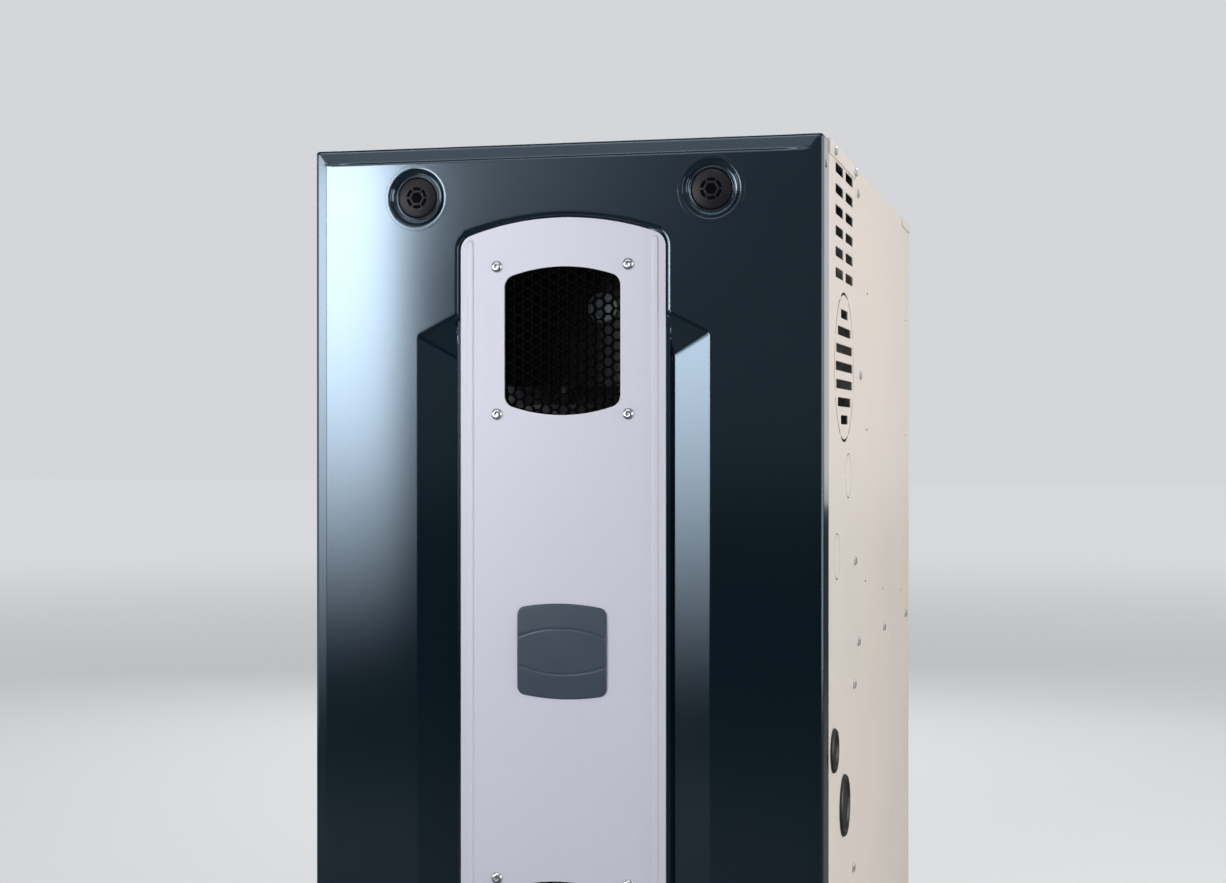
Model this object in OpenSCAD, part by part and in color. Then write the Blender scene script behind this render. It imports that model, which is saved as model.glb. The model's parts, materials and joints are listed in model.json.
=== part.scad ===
// Upflow condensing forced air gas furnace, 34 in tall, as an assembly of its real pieces.
// +Z is up, the front door faces -Y, and the origin is the middle of the base.
// Depths (y) are counted backwards from a plane that lies field_rise behind the door's raised face,
// heights (z) from the floor.

/* [Cabinet] */
// Width over the side panels
cabinet_w = 444.5; // [440:0.5:560]
// Height of the cabinet
cabinet_h = 863.6; // [855:0.1:900]
// Depth of the back panel's face
body_d = 721.8; // [712:0.1:760]
// Thickness of the cabinet's sheet steel
sheet = 1.0; // [0.8:0.1:1.3]
// Where the side panels start, behind the door's edge
side_front = 28.6; // [28.4:0.1:29.4]
// Width of the side panels' inward flanges
flange_w = 19; // [14:1:24]
// Height of the blower deck
deck_z = 415; // [405:1:425]
// Depth of the vestibule panel
vestibule_y = 231; // [226:1:238]
// Depth of the blower door
blower_door_y = 184; // [178:1:188]

/* [Door] */
// Depth of the door's side edges
door_edge_d = 27.6; // [24:0.1:28]
// Width of the flat border round the raised field
border_w = 11; // [8:0.5:14]
// How far the raised face stands in front of the plane that depths start from
field_rise = 6; // [5:0.5:7]
// Height of the step from the border up to the raised face
border_step = 1.2; // [0.8:0.1:2]
// Gap under the door
door_gap = 1.5; // [1:0.5:3]
// Furthest tilt of the door, in degrees
door_tilt_max = 30; // [20:1:30]

/* [Centre strip] */
// Half width of the silver strip
strip_hw = 89.9; // [86:0.1:94]
// Distance of the strip's ends from the cabinet's top and bottom
strip_end = 63.8; // [58:0.1:72]
// Radius of the arch at the strip's ends
strip_arch_r = 246.5; // [230:0.5:300]
// Dark gap round the strip
strip_gap = 4; // [3:0.5:5]
// Half width of the mesh windows
window_hw = 51; // [46:0.5:54]
// Half height of the mesh windows
window_hh = 63; // [58:0.5:66]
// Distance of the upper window's middle below the top
upper_window_drop = 168.1; // [163:0.1:178]
// Height of the lower window's middle
lower_window_z = 174.3; // [170:0.5:184]
// Pitch of the honeycomb
mesh_pitch = 9; // [8:0.1:10]
// Half width of the badge plate
badge_hw = 39.1; // [34:0.1:44]
// Half height of the badge plate
badge_hh = 40.5; // [36:0.5:46]
// Depth of the scoops beside the strip
scoop_d = 3.5; // [2:0.5:5]

/* [Knobs] */
// Distance of each knob from the door's side
knob_side = 93.25; // [82:0.25:98]
// Distance of the knobs below the top
knob_drop = 43.6; // [39:0.1:52]
// Radius of a knob
knob_r = 16.5; // [14:0.5:18]
// Radius of the dished recess round a knob
recess_r = 24.5; // [22:0.5:26]
// Radius of the knob's shaft
knob_shaft_r = 4; // [3:0.5:4.5]
// Length of the locking blade
blade_l = 24; // [20:1:28]

/* [Vent slots and knock-outs] */
// Width of a vent slot
slot_w = 51; // [40:1:54]
// Height of a vent slot
slot_h = 8.6; // [6:0.2:9]
// Pitch of the vent slots
slot_pitch = 18; // [16:0.5:18.5]
// Radius of the round louvred knock-out
louvre_r = 65; // [56:1:66]

/* [Burners and heat exchanger] */
// Pitch of the burners and tubes
tube_pitch = 88; // [80:1:90]
// Radius of the heat exchanger tubes
tube_r = 20; // [17:0.5:21]
// Distance of the burners below the top
burner_drop = 143.6; // [137:0.1:148]
// Drop from one tube pass to the next
pass_drop = 80; // [76:1:82]
// Gap between the rear header box and the back panel
rear_gap = 29.8; // [23:0.1:40]
// Half width of the burner box
burner_box_hw = 125; // [118:1:126]

/* [Vent] */
// Outer radius of the vent and intake pipes, 2 in plastic pipe
pipe_r = 30.15; // [29:0.05:30.15]
// Distance of the vent pipe from the cabinet's side
vent_side = 50.25; // [48:0.25:52]
// Depth of the vent pipe
vent_y = 176.5; // [172:0.5:180]
// Distance of the intake pipe from the middle
intake_x = 70; // [60:1:80]
// How far the pipe collars stand above the top
collar_rise = 3; // [2:0.5:6]

/* [Inducer] */
// Height of the inducer's axis above the blower deck
inducer_rise = 105; // [103:1:109]
// Distance of the inducer's axis from the middle
inducer_x = 95; // [92:1:96]
// Radius of the inducer wheel
inducer_wheel_r = 50; // [44:1:52]
// Number of inducer blades
inducer_blades = 20; // [12:1:24]

/* [Blower] */
// Radius of the blower wheel
blower_r = 133; // [125:1:134]
// Width of the blower wheel
blower_w = 200; // [180:2:206]
// Depth of the blower's axis
blower_y = 420; // [412:1:430]
// Height of the blower's axis
blower_z = 215; // [212:1:220]
// Number of blower blades
blower_blades = 40; // [30:1:44]
// Radius of the blower motor
motor_r = 70; // [60:1:74]

/* [Hidden] */

$fn = 64;

// overall places
screw_head_h = 2.2;
half_w = cabinet_w / 2;
inner_w = half_w - sheet;
mid_z = cabinet_h / 2;
front_y = -(field_rise + body_d + screw_head_h) / 2 + field_rise;
back_y = body_d;
overlap = 1;             // how far a cutting tool runs past what it cuts
fit = 0.3;               // gap round curved pieces that sit in one another
running = 0.05;          // radial clearance of a turning shaft

// screws in the side panels, each [depth, height]
side_screws = [[vestibule_y - 5, cabinet_h - 22.6], [vestibule_y + 14, cabinet_h - 191.6],
               [vestibule_y - 28, deck_z + 85], [vestibule_y - 2, deck_z + 8], [450, deck_z + 1],
               [body_d - 43.8, deck_z - 5], [blower_door_y + 13, deck_z - 28], [blower_door_y + 6, 220]];
tab_screws = [[61, cabinet_h - 6.2], [201, cabinet_h - 6.2]];
// small slits in the side panels, each [depth, height]
side_slits = [[304, cabinet_h - 110.6], [301, cabinet_h - 242.6], [body_d - 41.8, cabinet_h - 114.6],
              [body_d - 39.8, cabinet_h - 247.6], [290, deck_z + 60], [444, deck_z + 41],
              [body_d - 91.8, deck_z + 26]];
// middle depths of the two columns of vent slots, and the louvre's slot widths over its radius
slot_columns = [96.5, 164];
slot_rows = 6;
slot_corner_r = 2;
louvre_widths = [0.72, 1.35, 1.68, 1.77, 1.68, 1.35, 0.72];
// screws in the back panel, each [distance from the middle, height]
back_screw_x = half_w - 17.25;
back_screws = [for (z = [60, 330, cabinet_h - 263.6, cabinet_h - 33.6]) [back_screw_x, z]];
screw_r = 1.9;
screw_hole_r = screw_r + fit;
screw_l = 6;

// tab at the top of the front panel
tab_y0 = 30.8;
tab_y1 = 205;
tab_h = 12.2;
rear_tab_y = body_d - 83.8;
rear_tab_h = 9.6;
top_panel_y = 29.8;
base_lip_y = 14;
base_lip_h = 16;
lip_hw = half_w - 22.25;

// door
door_top = cabinet_h - 0.5;
strip_hh = mid_z - strip_end;
upper_window_z = cabinet_h - upper_window_drop;
knob_x = half_w - knob_side;
knob_z = cabinet_h - knob_drop;
strip_y = -3.5;           // face of the strip
pocket_y = -1.5;          // floor of the pocket that it lies in
strip_corner_r = 13;
window_arch_r = 140;
window_corner_r = 10;
badge_arch_r = 190;
badge_corner_r = 7;
scoop_in = strip_hw + strip_gap + 0.1;
scoop_out = scoop_in + 34;
scoop_deep = scoop_in + 1.2;
// heights above the middle: inner point, outer point, deep point
scoop_top = [strip_hh - 81, strip_hh - 99, strip_hh - 118];
rib_x = strip_hw - 8.9;   // the two fine ribs along the strip's edges
rib_end = strip_hh - 20;
recess_d = 9;
recess_floor_y = recess_d - field_rise;
border_y = border_step - field_rise;
keeper_y = top_panel_y + sheet;
keeper_t = 1.2;
blade_y = keeper_y + keeper_t + 1.2;
blade_t = 2;
blade_h = 8;
screen_y = pocket_y + sheet;
screen_t = 2.5;
screen_margin = 5;
strip_screw_x = window_hw + 6.7;
strip_screw_zs = [upper_window_z + window_hh + 0.7, upper_window_z - window_hh + 0.9,
                  lower_window_z + window_hh + 0.1, lower_window_z - window_hh + 0.3];
insulation_x = half_w - 17.25;
insulation_z = [262, cabinet_h - 257.6];
insulation_y = [recess_floor_y + 2, 21];
stiffener_zs = [235, cabinet_h - 251.6];
stiffener_y = [14, 26];
stiffener_h = 20;
switch_x = 32.25 - half_w;   // the door switch

// burner box, from front to back
burner_z = cabinet_h - burner_drop;
box_y = 118;
box_z = [burner_z - 52, burner_z + 52];
box_t = 1.2;
burner_plate_y = vestibule_y - 17;
rod_at_y = vestibule_y - 10;   // depth of the igniter and the flame sensor
burner_xs = [-tube_pitch, 0, tube_pitch];
manifold_r = 10.65;
manifold_y = 134;
valve_x = 50.25 - half_w;
valve_y = 130;
valve_size = [66, 70, 85];
valve_top = burner_z - 95;
manifold_bend_r = 18;
gas_inlet_r = 8.93;
gas_inlet_l = 20;
igniter_x = 66;
sensor_x = -58;
rollout_at = [-95, burner_z + 25];
sight_at = [5, burner_z + 11];
cover_y = box_y - box_t;

// heat exchanger
rear_header_d = 50;
rear_header_y = body_d - sheet - rear_gap - rear_header_d;
pass_zs = [burner_z, burner_z - pass_drop, burner_z - 2 * pass_drop];
bend_r = pass_drop / 2;
tube_t = 1.2;
tube_front_y = vestibule_y - 5;
rear_bend_y = rear_header_y - 41;
front_bend_y = vestibule_y + sheet + 28 + bend_r;
header_z = [deck_z + 35, pass_zs[2] + 40];
coil_z = [deck_z + 40, deck_z + 118];
coil_hw = half_w - 37.25;
limit_at = [44, burner_z - 90];
fin_count = 24;

// inducer, collector and vent
vent_x = half_w - vent_side;
inducer_z = deck_z + inducer_rise;
collector_y = vestibule_y - 28;
collector_hw = half_w - 32.25;
collector_z = [deck_z + 33, deck_z + 141];
scroll_y = [collector_y - 53, collector_y];
scroll_t = 1.5;
inducer_r0 = 58;
inducer_r1 = vent_x - inducer_x + pipe_r;
inducer_cut_a = acos((vent_x - inducer_x - pipe_r) / inducer_r0);
inducer_top_z = inducer_z + 80;
inducer_motor_y = scroll_y[0] - 65;
inducer_shaft_r = 4;
outlet_collar_l = 25;
pipe_t = 2.5;
collar_r = pipe_r + 7.3;
collar_bore_r = pipe_r + 0.25;
collar_flange_r = 43;
collar_stop_z = [cabinet_h - 35.6, cabinet_h - 27];
collar_bottom_z = cabinet_h - 63.6;
intake_y = 175;
switch_at = [-60, inducer_z + 90];   // the pressure switch
switch_back_y = vestibule_y - 21;

// condensate
trap_x = [half_w - 122.25, half_w - 42.25];
trap_y = [blower_door_y - 56, blower_door_y];
trap_z = [deck_z - 105, deck_z - 10];
trap_inlet = [trap_x[1] - 20, blower_door_y - 28];
drain_r = 9.5;
drain_l = 24;
drain_at = [trap_x[0] + 40, trap_z[0] + 20];

// blower
scroll_w = blower_w + 36;
scroll_sheet = 1.2;
blower_cut_a = 100;
blower_r0 = blower_r + 8;
blower_r1 = 205;
blower_in_r = blower_r - 21;
inlet_r = blower_r - 23;
blower_shaft_r = 6.35;
motor_x = [20, scroll_w / 2 + 20];

// controls
panel_x = [10.25 - half_w, 177.25 - half_w];
panel_y = blower_door_y - 34;
panel_z = [deck_z - 200, deck_z - 10];

// line plugs in the sides, each [depth, height, hole radius]
plugs = [[56.7, 347.6, 16], [124, 289, 24.3]];

// hoses and wires: points chosen by hand, [x, depth, height]
pressure_points = [[-60, 184, 590], [-60, 178, 590], [-60, 165, 588], [-48, 140, 575], [-15, 128, 566],
                   [15, 126, 563], [32, 129, 560], [42, 135, 557], [45, 142, 556], [45, 150, 556]];
drain_points = [[165, 216, 448], [165, 216, 446.5], [165, 214.3, 440.3], [164.8, 209.8, 435.8],
                [164.4, 203.5, 434], [163, 184, 433.9], [162.4, 176, 433.6], [161, 166, 431],
                [160.3, 158.7, 423.8], [160, 156, 413.8], [160, 156, 405]];
wire_r = 1.6;
wire_runs = [
    [[-150, 118, 393], [-148, 112, 420], [-150, 100, 470], [-160, 86, 510], [-166, 82, 560],
     [-166, 85, 576], [-166, 89, 580], [-166, 95, 580]],
    [[-130, 118, 393], [-128, 108, 430], [-120, 96, 520], [-112, 92, 640], [-106, 92, 700],
     [-101, 96, 735], [-100, 103.6, 742]],
    [[-110, 118, 393], [-104, 126, 415], [-60, 128, 450], [0, 100, 485], [50, 80, 505],
     [82, 74, 516], [90, 78, 520], [90, 85, 520]],
    [[-170, 118, 393], [-172, 90, 430], [-184, 78, 520], [-190, 80, 590], [-191, 82, 616],
     [-191, 78, 622], [-191, 70, 622]],
    [[-90, 118, 393], [-86, 104, 440], [-72, 100, 520], [-62, 120, 560], [-55, 160, 606],
     [-54, 175, 620], [-54, 179, 622], [-54, 186, 622]],
];

// ---------- helpers ----------
module framed() translate([0, front_y, 0]) children();
module both() { children(); mirror([1, 0, 0]) children(); }
module block(low, high) translate(low) cube(high - low);
// an outline in x and z, from depth y0 back to y1
module slab(y0, y1) translate([0, y1, 0]) rotate([90, 0, 0]) linear_extrude(y1 - y0) children();
// an outline in y and z, from x0 to x1
module side_slab(x0, x1) translate([x0, 0, 0]) rotate([90, 0, 90]) linear_extrude(x1 - x0) children();
// a round rod along y
module rod_y(x, z, r, y0, y1) slab(y0, y1) translate([x, z]) circle(r);
// a profile of [radius, length] turned about an axis that runs backwards
module turned_y(x, y, z) translate([x, y, z]) rotate([-90, 0, 0]) rotate_extrude() children();
module turned_z(x, y, z) translate([x, y, z]) rotate_extrude() children();
function arc(c, r, a0, a1, n) =
    [for (i = [0:n]) let (a = a0 + (a1 - a0) * i / n) c + r * [cos(a), sin(a)]];
function flipped(ps) = [for (i = [len(ps) - 1:-1:0]) [ps[i][0], -ps[i][1]]];

// a plate whose top and bottom are shallow arches with round corners
module arched(hw, hh, arch_r, corner_r) {
    cx = hw - corner_r;
    ax = hh - arch_r;
    cz = ax + sqrt(pow(arch_r - corner_r, 2) - cx * cx);
    a = atan2(cz - ax, cx);
    top = concat(arc([cx, cz], corner_r, 0, a, 8),
                 [for (i = [1:15]) let (t = a + (180 - 2 * a) * i / 16)
                     [arch_r * cos(t), ax + arch_r * sin(t)]],
                 arc([-cx, cz], corner_r, 180 - a, 180, 8));
    polygon(concat(top, flipped(top)));
}

// a rectangle from the origin with round corners
module round_slot(w, h, r) polygon(concat(
    arc([w - r, h - r], r, 0, 90, 4), arc([r, h - r], r, 90, 180, 4),
    arc([r, r], r, 180, 270, 4), arc([w - r, r], r, 270, 360, 4)));

// a ring of arc slots with bridges left between them
module ring_slots(r, w, bridges, bridge_w, start = 0) difference() {
    circle(r + w / 2);
    circle(r - w / 2);
    for (i = [0:bridges - 1])
        rotate(start + 360 * i / bridges) translate([0, -bridge_w / 2]) square([r + w, bridge_w]);
}

// a volute: a spiral from angle a0 to 360 whose radius grows from r0 to r1, offset outwards by t
function spiral(r0, r1, a0, t, n) =
    [for (i = [0:n]) let (s = i / n, a = a0 + (360 - a0) * s, r = r0 * pow(r1 / r0, s) + t)
        [r * cos(a), r * sin(a)]];

// a tube of n sides carried along points
function unit(v) = v / norm(v);
module swept(points, r, n = 8) {
    last = len(points) - 1;
    ring_at = [for (i = [0:last]) let (
        d = unit(i == 0 ? points[1] - points[0] : i == last ? points[last] - points[last - 1]
                 : unit(points[i + 1] - points[i]) + unit(points[i] - points[i - 1])),
        u = unit(cross(d, [0.83, -0.21, 0.52])), v = cross(d, u))
        for (k = [0:n - 1]) points[i] + r * (cos(360 * k / n) * u + sin(360 * k / n) * v)];
    polyhedron(ring_at, concat(
        [for (k = [1:n - 2]) [0, k, k + 1]], [for (k = [1:n - 2]) [last * n, last * n + k + 1, last * n + k]],
        [for (i = [0:last - 1], k = [0:n - 1]) let (b = (k + 1) % n) [i * n + k, (i + 1) * n + b, i * n + b]],
        [for (i = [0:last - 1], k = [0:n - 1]) let (b = (k + 1) % n)
            [i * n + k, (i + 1) * n + k, (i + 1) * n + b]]));
}

module screw_head() {
    cylinder(r = 4.6, h = 0.8);
    cylinder(r = 3.7, h = screw_head_h, $fn = 6);
}
// a hex washer screw along +z: the head above the surface, the shank below it
module screw() {
    screw_head();
    translate([0, 0, -screw_l]) cylinder(r = screw_r, h = screw_l + 0.1);
}
// children placed at each side screw, pointing out of the right side
module at_side_screws() for (p = side_screws)
    translate([half_w, p[0], p[1]]) rotate([0, 90, 0]) children();
module at_tab_screws() for (p = tab_screws)
    translate([half_w + sheet, p[0], p[1]]) rotate([0, 90, 0]) children();
module at_back_screws() both() for (p = back_screws)
    translate([p[0], back_y, p[1]]) rotate([-90, 0, 0]) children();
module screw_hole() translate([0, 0, -40]) cylinder(r = screw_hole_r, h = 60);
module cabinet_screw_holes() {
    both() { at_side_screws() screw_hole(); at_tab_screws() screw_hole(); }
    at_back_screws() screw_hole();
}

// ---------- cabinet ----------
module side_outline() {
    slots_top = cabinet_h - 13.7;
    difference() {
        translate([side_front, 0]) square([back_y - sheet - side_front, cabinet_h - sheet]);
        for (column = slot_columns, row = [0:slot_rows - 1])
            translate([column - slot_w / 2, slots_top - row * slot_pitch - slot_h])
                round_slot(slot_w, slot_h, slot_corner_r);
        translate([130, cabinet_h - 188]) {
            ring_slots(louvre_r, 2.5, 8, 5, 22.5);
            for (i = [0:6])
                translate([-louvre_widths[i] * louvre_r / 2, (3 - i) * 15.5 - 4])
                    round_slot(louvre_widths[i] * louvre_r, 8, slot_corner_r);
        }
        translate([158, cabinet_h - 284.6]) ring_slots(19.8, 1.2, 2, 4);
        translate([81, cabinet_h - 352.6]) ring_slots(19.7, 1.2, 2, 4);
        for (p = plugs) translate([p[0], p[1]]) circle(p[2]);
        for (p = side_slits) translate([p[0] - 4.5, p[1] - 1]) square([9, 2]);
    }
}
module side_panel() difference() {
    union() {
        side_slab(inner_w, half_w) side_outline();
        block([inner_w - flange_w, side_front, base_lip_h + 4],
              [inner_w + 0.5, side_front + sheet, cabinet_h - 14]);
        block([inner_w - flange_w, back_y - 2 * sheet, 24],
              [inner_w + 0.5, back_y - sheet, cabinet_h - sheet]);
        block([inner_w - flange_w, vestibule_y + 3, cabinet_h - 2 * sheet],
              [inner_w + 0.5, back_y - sheet, cabinet_h - sheet]);
    }
    cabinet_screw_holes();
}
module right_side_panel() framed() color("#ddd5cb") side_panel();
module left_side_panel() framed() color("#ddd5cb") mirror([1, 0, 0]) side_panel();

module back_panel() framed() color("#cfc8bf") difference() {
    tab_out = half_w + 1.5;
    union() {
        block([-half_w, back_y - sheet, 0], [half_w, back_y, cabinet_h - sheet]);
        block([-half_w, back_y - 90.8, cabinet_h - sheet], [half_w, back_y, cabinet_h]);
        both() {
            side_slab(half_w, tab_out) union() {
                translate([rear_tab_y + 4, cabinet_h - rear_tab_h])
                    square([back_y - rear_tab_y - 4, rear_tab_h]);
                translate([rear_tab_y + rear_tab_h / 2, cabinet_h - rear_tab_h / 2]) circle(rear_tab_h / 2);
            }
            block([half_w - 2, rear_tab_y + 6, cabinet_h - sheet], [tab_out, back_y, cabinet_h]);
            block([half_w - 2, back_y - sheet, cabinet_h - rear_tab_h], [tab_out, back_y, cabinet_h]);
        }
        // pressed ribs across the back
        for (z = [180, mid_z, cabinet_h - 183.6])
            block([52.25 - half_w, back_y - 0.5, z - 8], [half_w - 52.25, back_y + 1.2, z + 8]);
    }
    block([flange_w - inner_w, back_y - 100.8, cabinet_h - 2 * sheet],
          [inner_w - flange_w, back_y - sheet - flange_w, cabinet_h + overlap]);
    cabinet_screw_holes();
}

module base_pan() framed() color("#c4beb6") difference() {
    return_hw = half_w - 38.75;
    return_y = blower_door_y + 32.5;
    return_l = back_y - 28.3 - return_y;
    union() {
        block([-inner_w, side_front, 0], [inner_w, back_y - 2 * sheet, sheet]);
        block([-lip_hw, base_lip_y, 0], [lip_hw, side_front + 1, sheet]);
        block([-lip_hw, base_lip_y, 0], [lip_hw, base_lip_y + sheet, base_lip_h]);
        both() block([inner_w - sheet, side_front + 2, 0], [inner_w, back_y - 2 * sheet, 20]);
        block([-inner_w, back_y - 3 * sheet, 0], [inner_w, back_y - 2 * sheet, 20]);
    }
    // scored outline of the removable return air section
    translate([0, 0, sheet - 0.4]) linear_extrude(1) difference() {
        translate([-return_hw - 1.5, return_y - 1.5]) square([2 * return_hw + 3, return_l + 3]);
        translate([-return_hw, return_y]) square([2 * return_hw, return_l]);
    }
}

module top_front_panel() framed() color("#d8d0c6") difference() {
    union() {
        block([-half_w, top_panel_y, cabinet_h - sheet], [half_w, vestibule_y + 2 * sheet, cabinet_h]);
        block([-inner_w + 2, top_panel_y, cabinet_h - tab_h],
              [inner_w - 2, top_panel_y + sheet, cabinet_h]);
        block([-inner_w, vestibule_y + sheet, cabinet_h - 12],
              [inner_w, vestibule_y + 2 * sheet, cabinet_h]);
        both() {
            block([half_w, tab_y0, cabinet_h - tab_h], [half_w + sheet, tab_y1, cabinet_h]);
            block([half_w - 2, tab_y0, cabinet_h - sheet], [half_w + sheet, tab_y1, cabinet_h]);
        }
    }
    for (p = [[vent_x, vent_y], [-intake_x, intake_y]])
        translate([p[0], p[1], cabinet_h - 5]) cylinder(r = collar_r + fit, h = 10);
    cabinet_screw_holes();
}

module latch_keepers() framed() color("#b9bcc0") both() difference() {
    block([knob_x - 25, keeper_y, knob_z - 22], [knob_x + 25, keeper_y + keeper_t, cabinet_h - sheet]);
    block([knob_x - blade_l / 2 - 1, keeper_y - overlap, knob_z - 5],
          [knob_x + blade_l / 2 + 1, keeper_y + keeper_t + overlap, knob_z + 5]);
}

module door_gasket() framed() color("#2b2c2e") both()
    block([inner_w - flange_w + 2, side_front - 0.7, 30], [inner_w - 3, side_front, cabinet_h - 20]);

module cabinet_screws() framed() color("#c9ccd0") {
    both() { at_side_screws() screw(); at_tab_screws() screw(); }
    at_back_screws() screw();
}

module hole_plugs() framed() color("#1b1c1f") both() for (p = plugs) difference() {
    translate([half_w, p[0], p[1]]) rotate([0, 90, 0]) rotate_extrude()
        polygon([[0, -6], [p[2] - fit, -6], [p[2] - fit, 0], [p[2] + 3, 0], [p[2] + 3, 1.6],
                 [p[2] + 1.5, 3.1], [p[2] - 1.5, 3.1], [p[2] - 3, 0.8], [0, 1.8]]);
    translate([half_w, p[0], p[1]]) rotate([0, 90, 0]) translate([0, 0, -7]) cylinder(r = p[2] - 2.5, h = 6);
}

module vestibule_panel() framed() color("#b9bbbd") difference() {
    union() {
        block([-inner_w, vestibule_y, deck_z + sheet], [inner_w, vestibule_y + sheet, cabinet_h - 2 * sheet]);
        both() block([inner_w - sheet, vestibule_y - 32, deck_z + sheet + 14],
                     [inner_w, vestibule_y + sheet, cabinet_h - 2 * sheet]);
    }
    for (x = burner_xs) rod_y(x, burner_z, tube_r + fit, vestibule_y - 5, vestibule_y + 5);
    block([-coil_hw + 5, vestibule_y - 5, coil_z[0] + 5], [coil_hw - 5, vestibule_y + 5, coil_z[1] - 5]);
    rod_y(limit_at[0], limit_at[1], 5, vestibule_y - 5, vestibule_y + 5);
    cabinet_screw_holes();
}

module blower_deck() framed() color("#b9bbbd") difference() {
    union() {
        block([-inner_w, blower_door_y + 2, deck_z], [inner_w, back_y - 2 * sheet, deck_z + sheet]);
        both() block([inner_w - sheet, blower_door_y + 28, deck_z - 14],
                     [inner_w, back_y - 2 * sheet, deck_z + sheet + 13]);
    }
    block([-scroll_w / 2, blower_y + blower_r0 * cos(blower_cut_a), deck_z - 5],
          [scroll_w / 2, blower_y + blower_r1, deck_z + 5]);
    both() block([inner_w - 2 * sheet, vestibule_y - 60, deck_z + sheet],
                 [inner_w + 1, vestibule_y + sheet + 0.5, deck_z + 30]);
    cabinet_screw_holes();
}

module blower_door() framed() color("#b9bbbd") difference() {
    union() {
        block([-inner_w, blower_door_y, 20.5], [inner_w, blower_door_y + sheet, deck_z + 10]);
        both() block([inner_w - sheet, blower_door_y, 20.5],
                     [inner_w, blower_door_y + 25, deck_z - 16]);
        // stiffening ribs
        for (z = [70, panel_z[0] - 16])
            block([72.25 - half_w, blower_door_y - 3, z], [half_w - 132.25, blower_door_y + 0.5, z + 12]);
    }
    cabinet_screw_holes();
}

module pipe_collars() framed() color("#232427") for (p = [[vent_x, vent_y], [-intake_x, intake_y]])
    turned_z(p[0], p[1], 0) polygon([
        [collar_bore_r, collar_bottom_z], [collar_r, collar_bottom_z], [collar_r, cabinet_h],
        [collar_flange_r, cabinet_h], [collar_flange_r, cabinet_h + collar_rise - 1],
        [collar_flange_r - 1, cabinet_h + collar_rise], [collar_bore_r, cabinet_h + collar_rise],
        [collar_bore_r, collar_stop_z[1]], [pipe_r - pipe_t, collar_stop_z[1]],
        [pipe_r - pipe_t, collar_stop_z[0]], [collar_bore_r, collar_stop_z[0]]]);

// ---------- door ----------
// Half section of the door: flat border, soft step, raised face; half is the half width there,
// s the distance inside the outer skin
function door_half(half, s) = concat(
    [[half - s, door_edge_d + (s > 0 ? 20 : 0)]],
    arc([half - 2.5, border_y + 2.5], 2.5 - s, 0, -90, 4),
    [for (i = [0:8]) let (t = i / 8)
        [half - border_w - 3 * t, border_y + s - border_step * (1 - cos(180 * t)) / 2]]);
module door_profile(half, s) {
    right = door_half(half, s);
    polygon(concat(right, [for (i = [len(right) - 1:-1:0]) [-right[i][0], right[i][1]]]));
}
module door_body(s) {
    h = (door_top - door_gap) / 2;
    mid = (door_top + door_gap) / 2;
    intersection() {
        linear_extrude(cabinet_h + 20) door_profile(half_w, s);
        translate([0, 0, mid]) rotate([0, 90, 0]) translate([0, 0, -half_w - 5])
            linear_extrude(2 * half_w + 10) door_profile(h, s);
    }
}
// the pressed scoops beside the strip, grown by g
module scoop(g) {
    f = -field_rise;
    out = field_rise + 3;
    a = [scoop_in - g, scoop_top[0] + 3.5 * g];
    b = [scoop_out + 3.4 * g, scoop_top[1] + 2.2 * g];
    c = [scoop_deep - 0.7 * g, scoop_top[2]];
    translate([0, 0, mid_z]) polyhedron(
        [[a[0], -out, a[1]], [b[0], -out, b[1]], [b[0], -out, -b[1]], [a[0], -out, -a[1]],
         [a[0], f, a[1]], [b[0], f, b[1]], [b[0], f, -b[1]], [a[0], f, -a[1]],
         [c[0], scoop_d + g, c[1]], [c[0], scoop_d + g, -c[1]]],
        [[1, 2, 3], [0, 1, 3], [5, 1, 0], [4, 5, 0], [6, 2, 1], [5, 6, 1], [7, 3, 2], [6, 7, 2], [4, 0, 3],
         [7, 4, 3], [8, 5, 4], [9, 6, 5], [8, 9, 5], [9, 7, 6], [8, 4, 7], [9, 8, 7]]);
}
module door_sinks(g) {
    both() {
        scoop(g);
        // the knob's recess: a steep rim, a narrow ledge, then the well
        turned_y(knob_x, g - field_rise, knob_z) polygon([
            [0, -20], [recess_r + g, -20], [recess_r + g, 0.6], [recess_r - 1.2 + g, 3],
            [recess_r - 5.2 + g, 3.2], [recess_r - 5.7 + g, 5], [recess_r - 6 + g, recess_d], [0, recess_d]]);
    }
    slab(-20, pocket_y + g) translate([0, mid_z])
        arched(strip_hw + strip_gap + g, strip_hh + strip_gap + g, strip_arch_r + strip_gap,
               strip_corner_r + strip_gap + g);
}
module window_outlines(grow) for (z = [upper_window_z, lower_window_z])
    translate([0, z]) arched(window_hw + grow, window_hh + grow, window_arch_r, window_corner_r + grow);
module door_shell() framed() color("#232e38") difference() {
    union() {
        difference() {
            door_body(0);
            door_sinks(0);
            difference() {
                door_body(sheet);
                door_sinks(sheet);
            }
            // the bottom edge is only a short flange
            block([-inner_w, base_lip_y - 2, 0], [inner_w, 60, door_gap + 3]);
        }
        // hems inside the side and top edges
        both() block([inner_w - 6, door_edge_d - sheet, base_lip_h + 6],
                     [inner_w + 0.5, door_edge_d, door_top - sheet]);
        block([-inner_w, door_edge_d - sheet, door_top - 7], [inner_w, door_edge_d, door_top - 0.5]);
    }
    slab(-20, 10) window_outlines(1);
    both() rod_y(knob_x, knob_z, knob_shaft_r + running, -5, 20);
    // three-cornered finger notch in each side
    both() side_slab(half_w - 3, half_w + 3)
        polygon([[8, cabinet_h - 20], [8, cabinet_h - 27.5], [21, cabinet_h - 25.8]]);
    strip_screw_holes();
}
module strip_screw_holes() both() for (z = strip_screw_zs) rod_y(strip_screw_x, z, 2.3, -20, 3);

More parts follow.
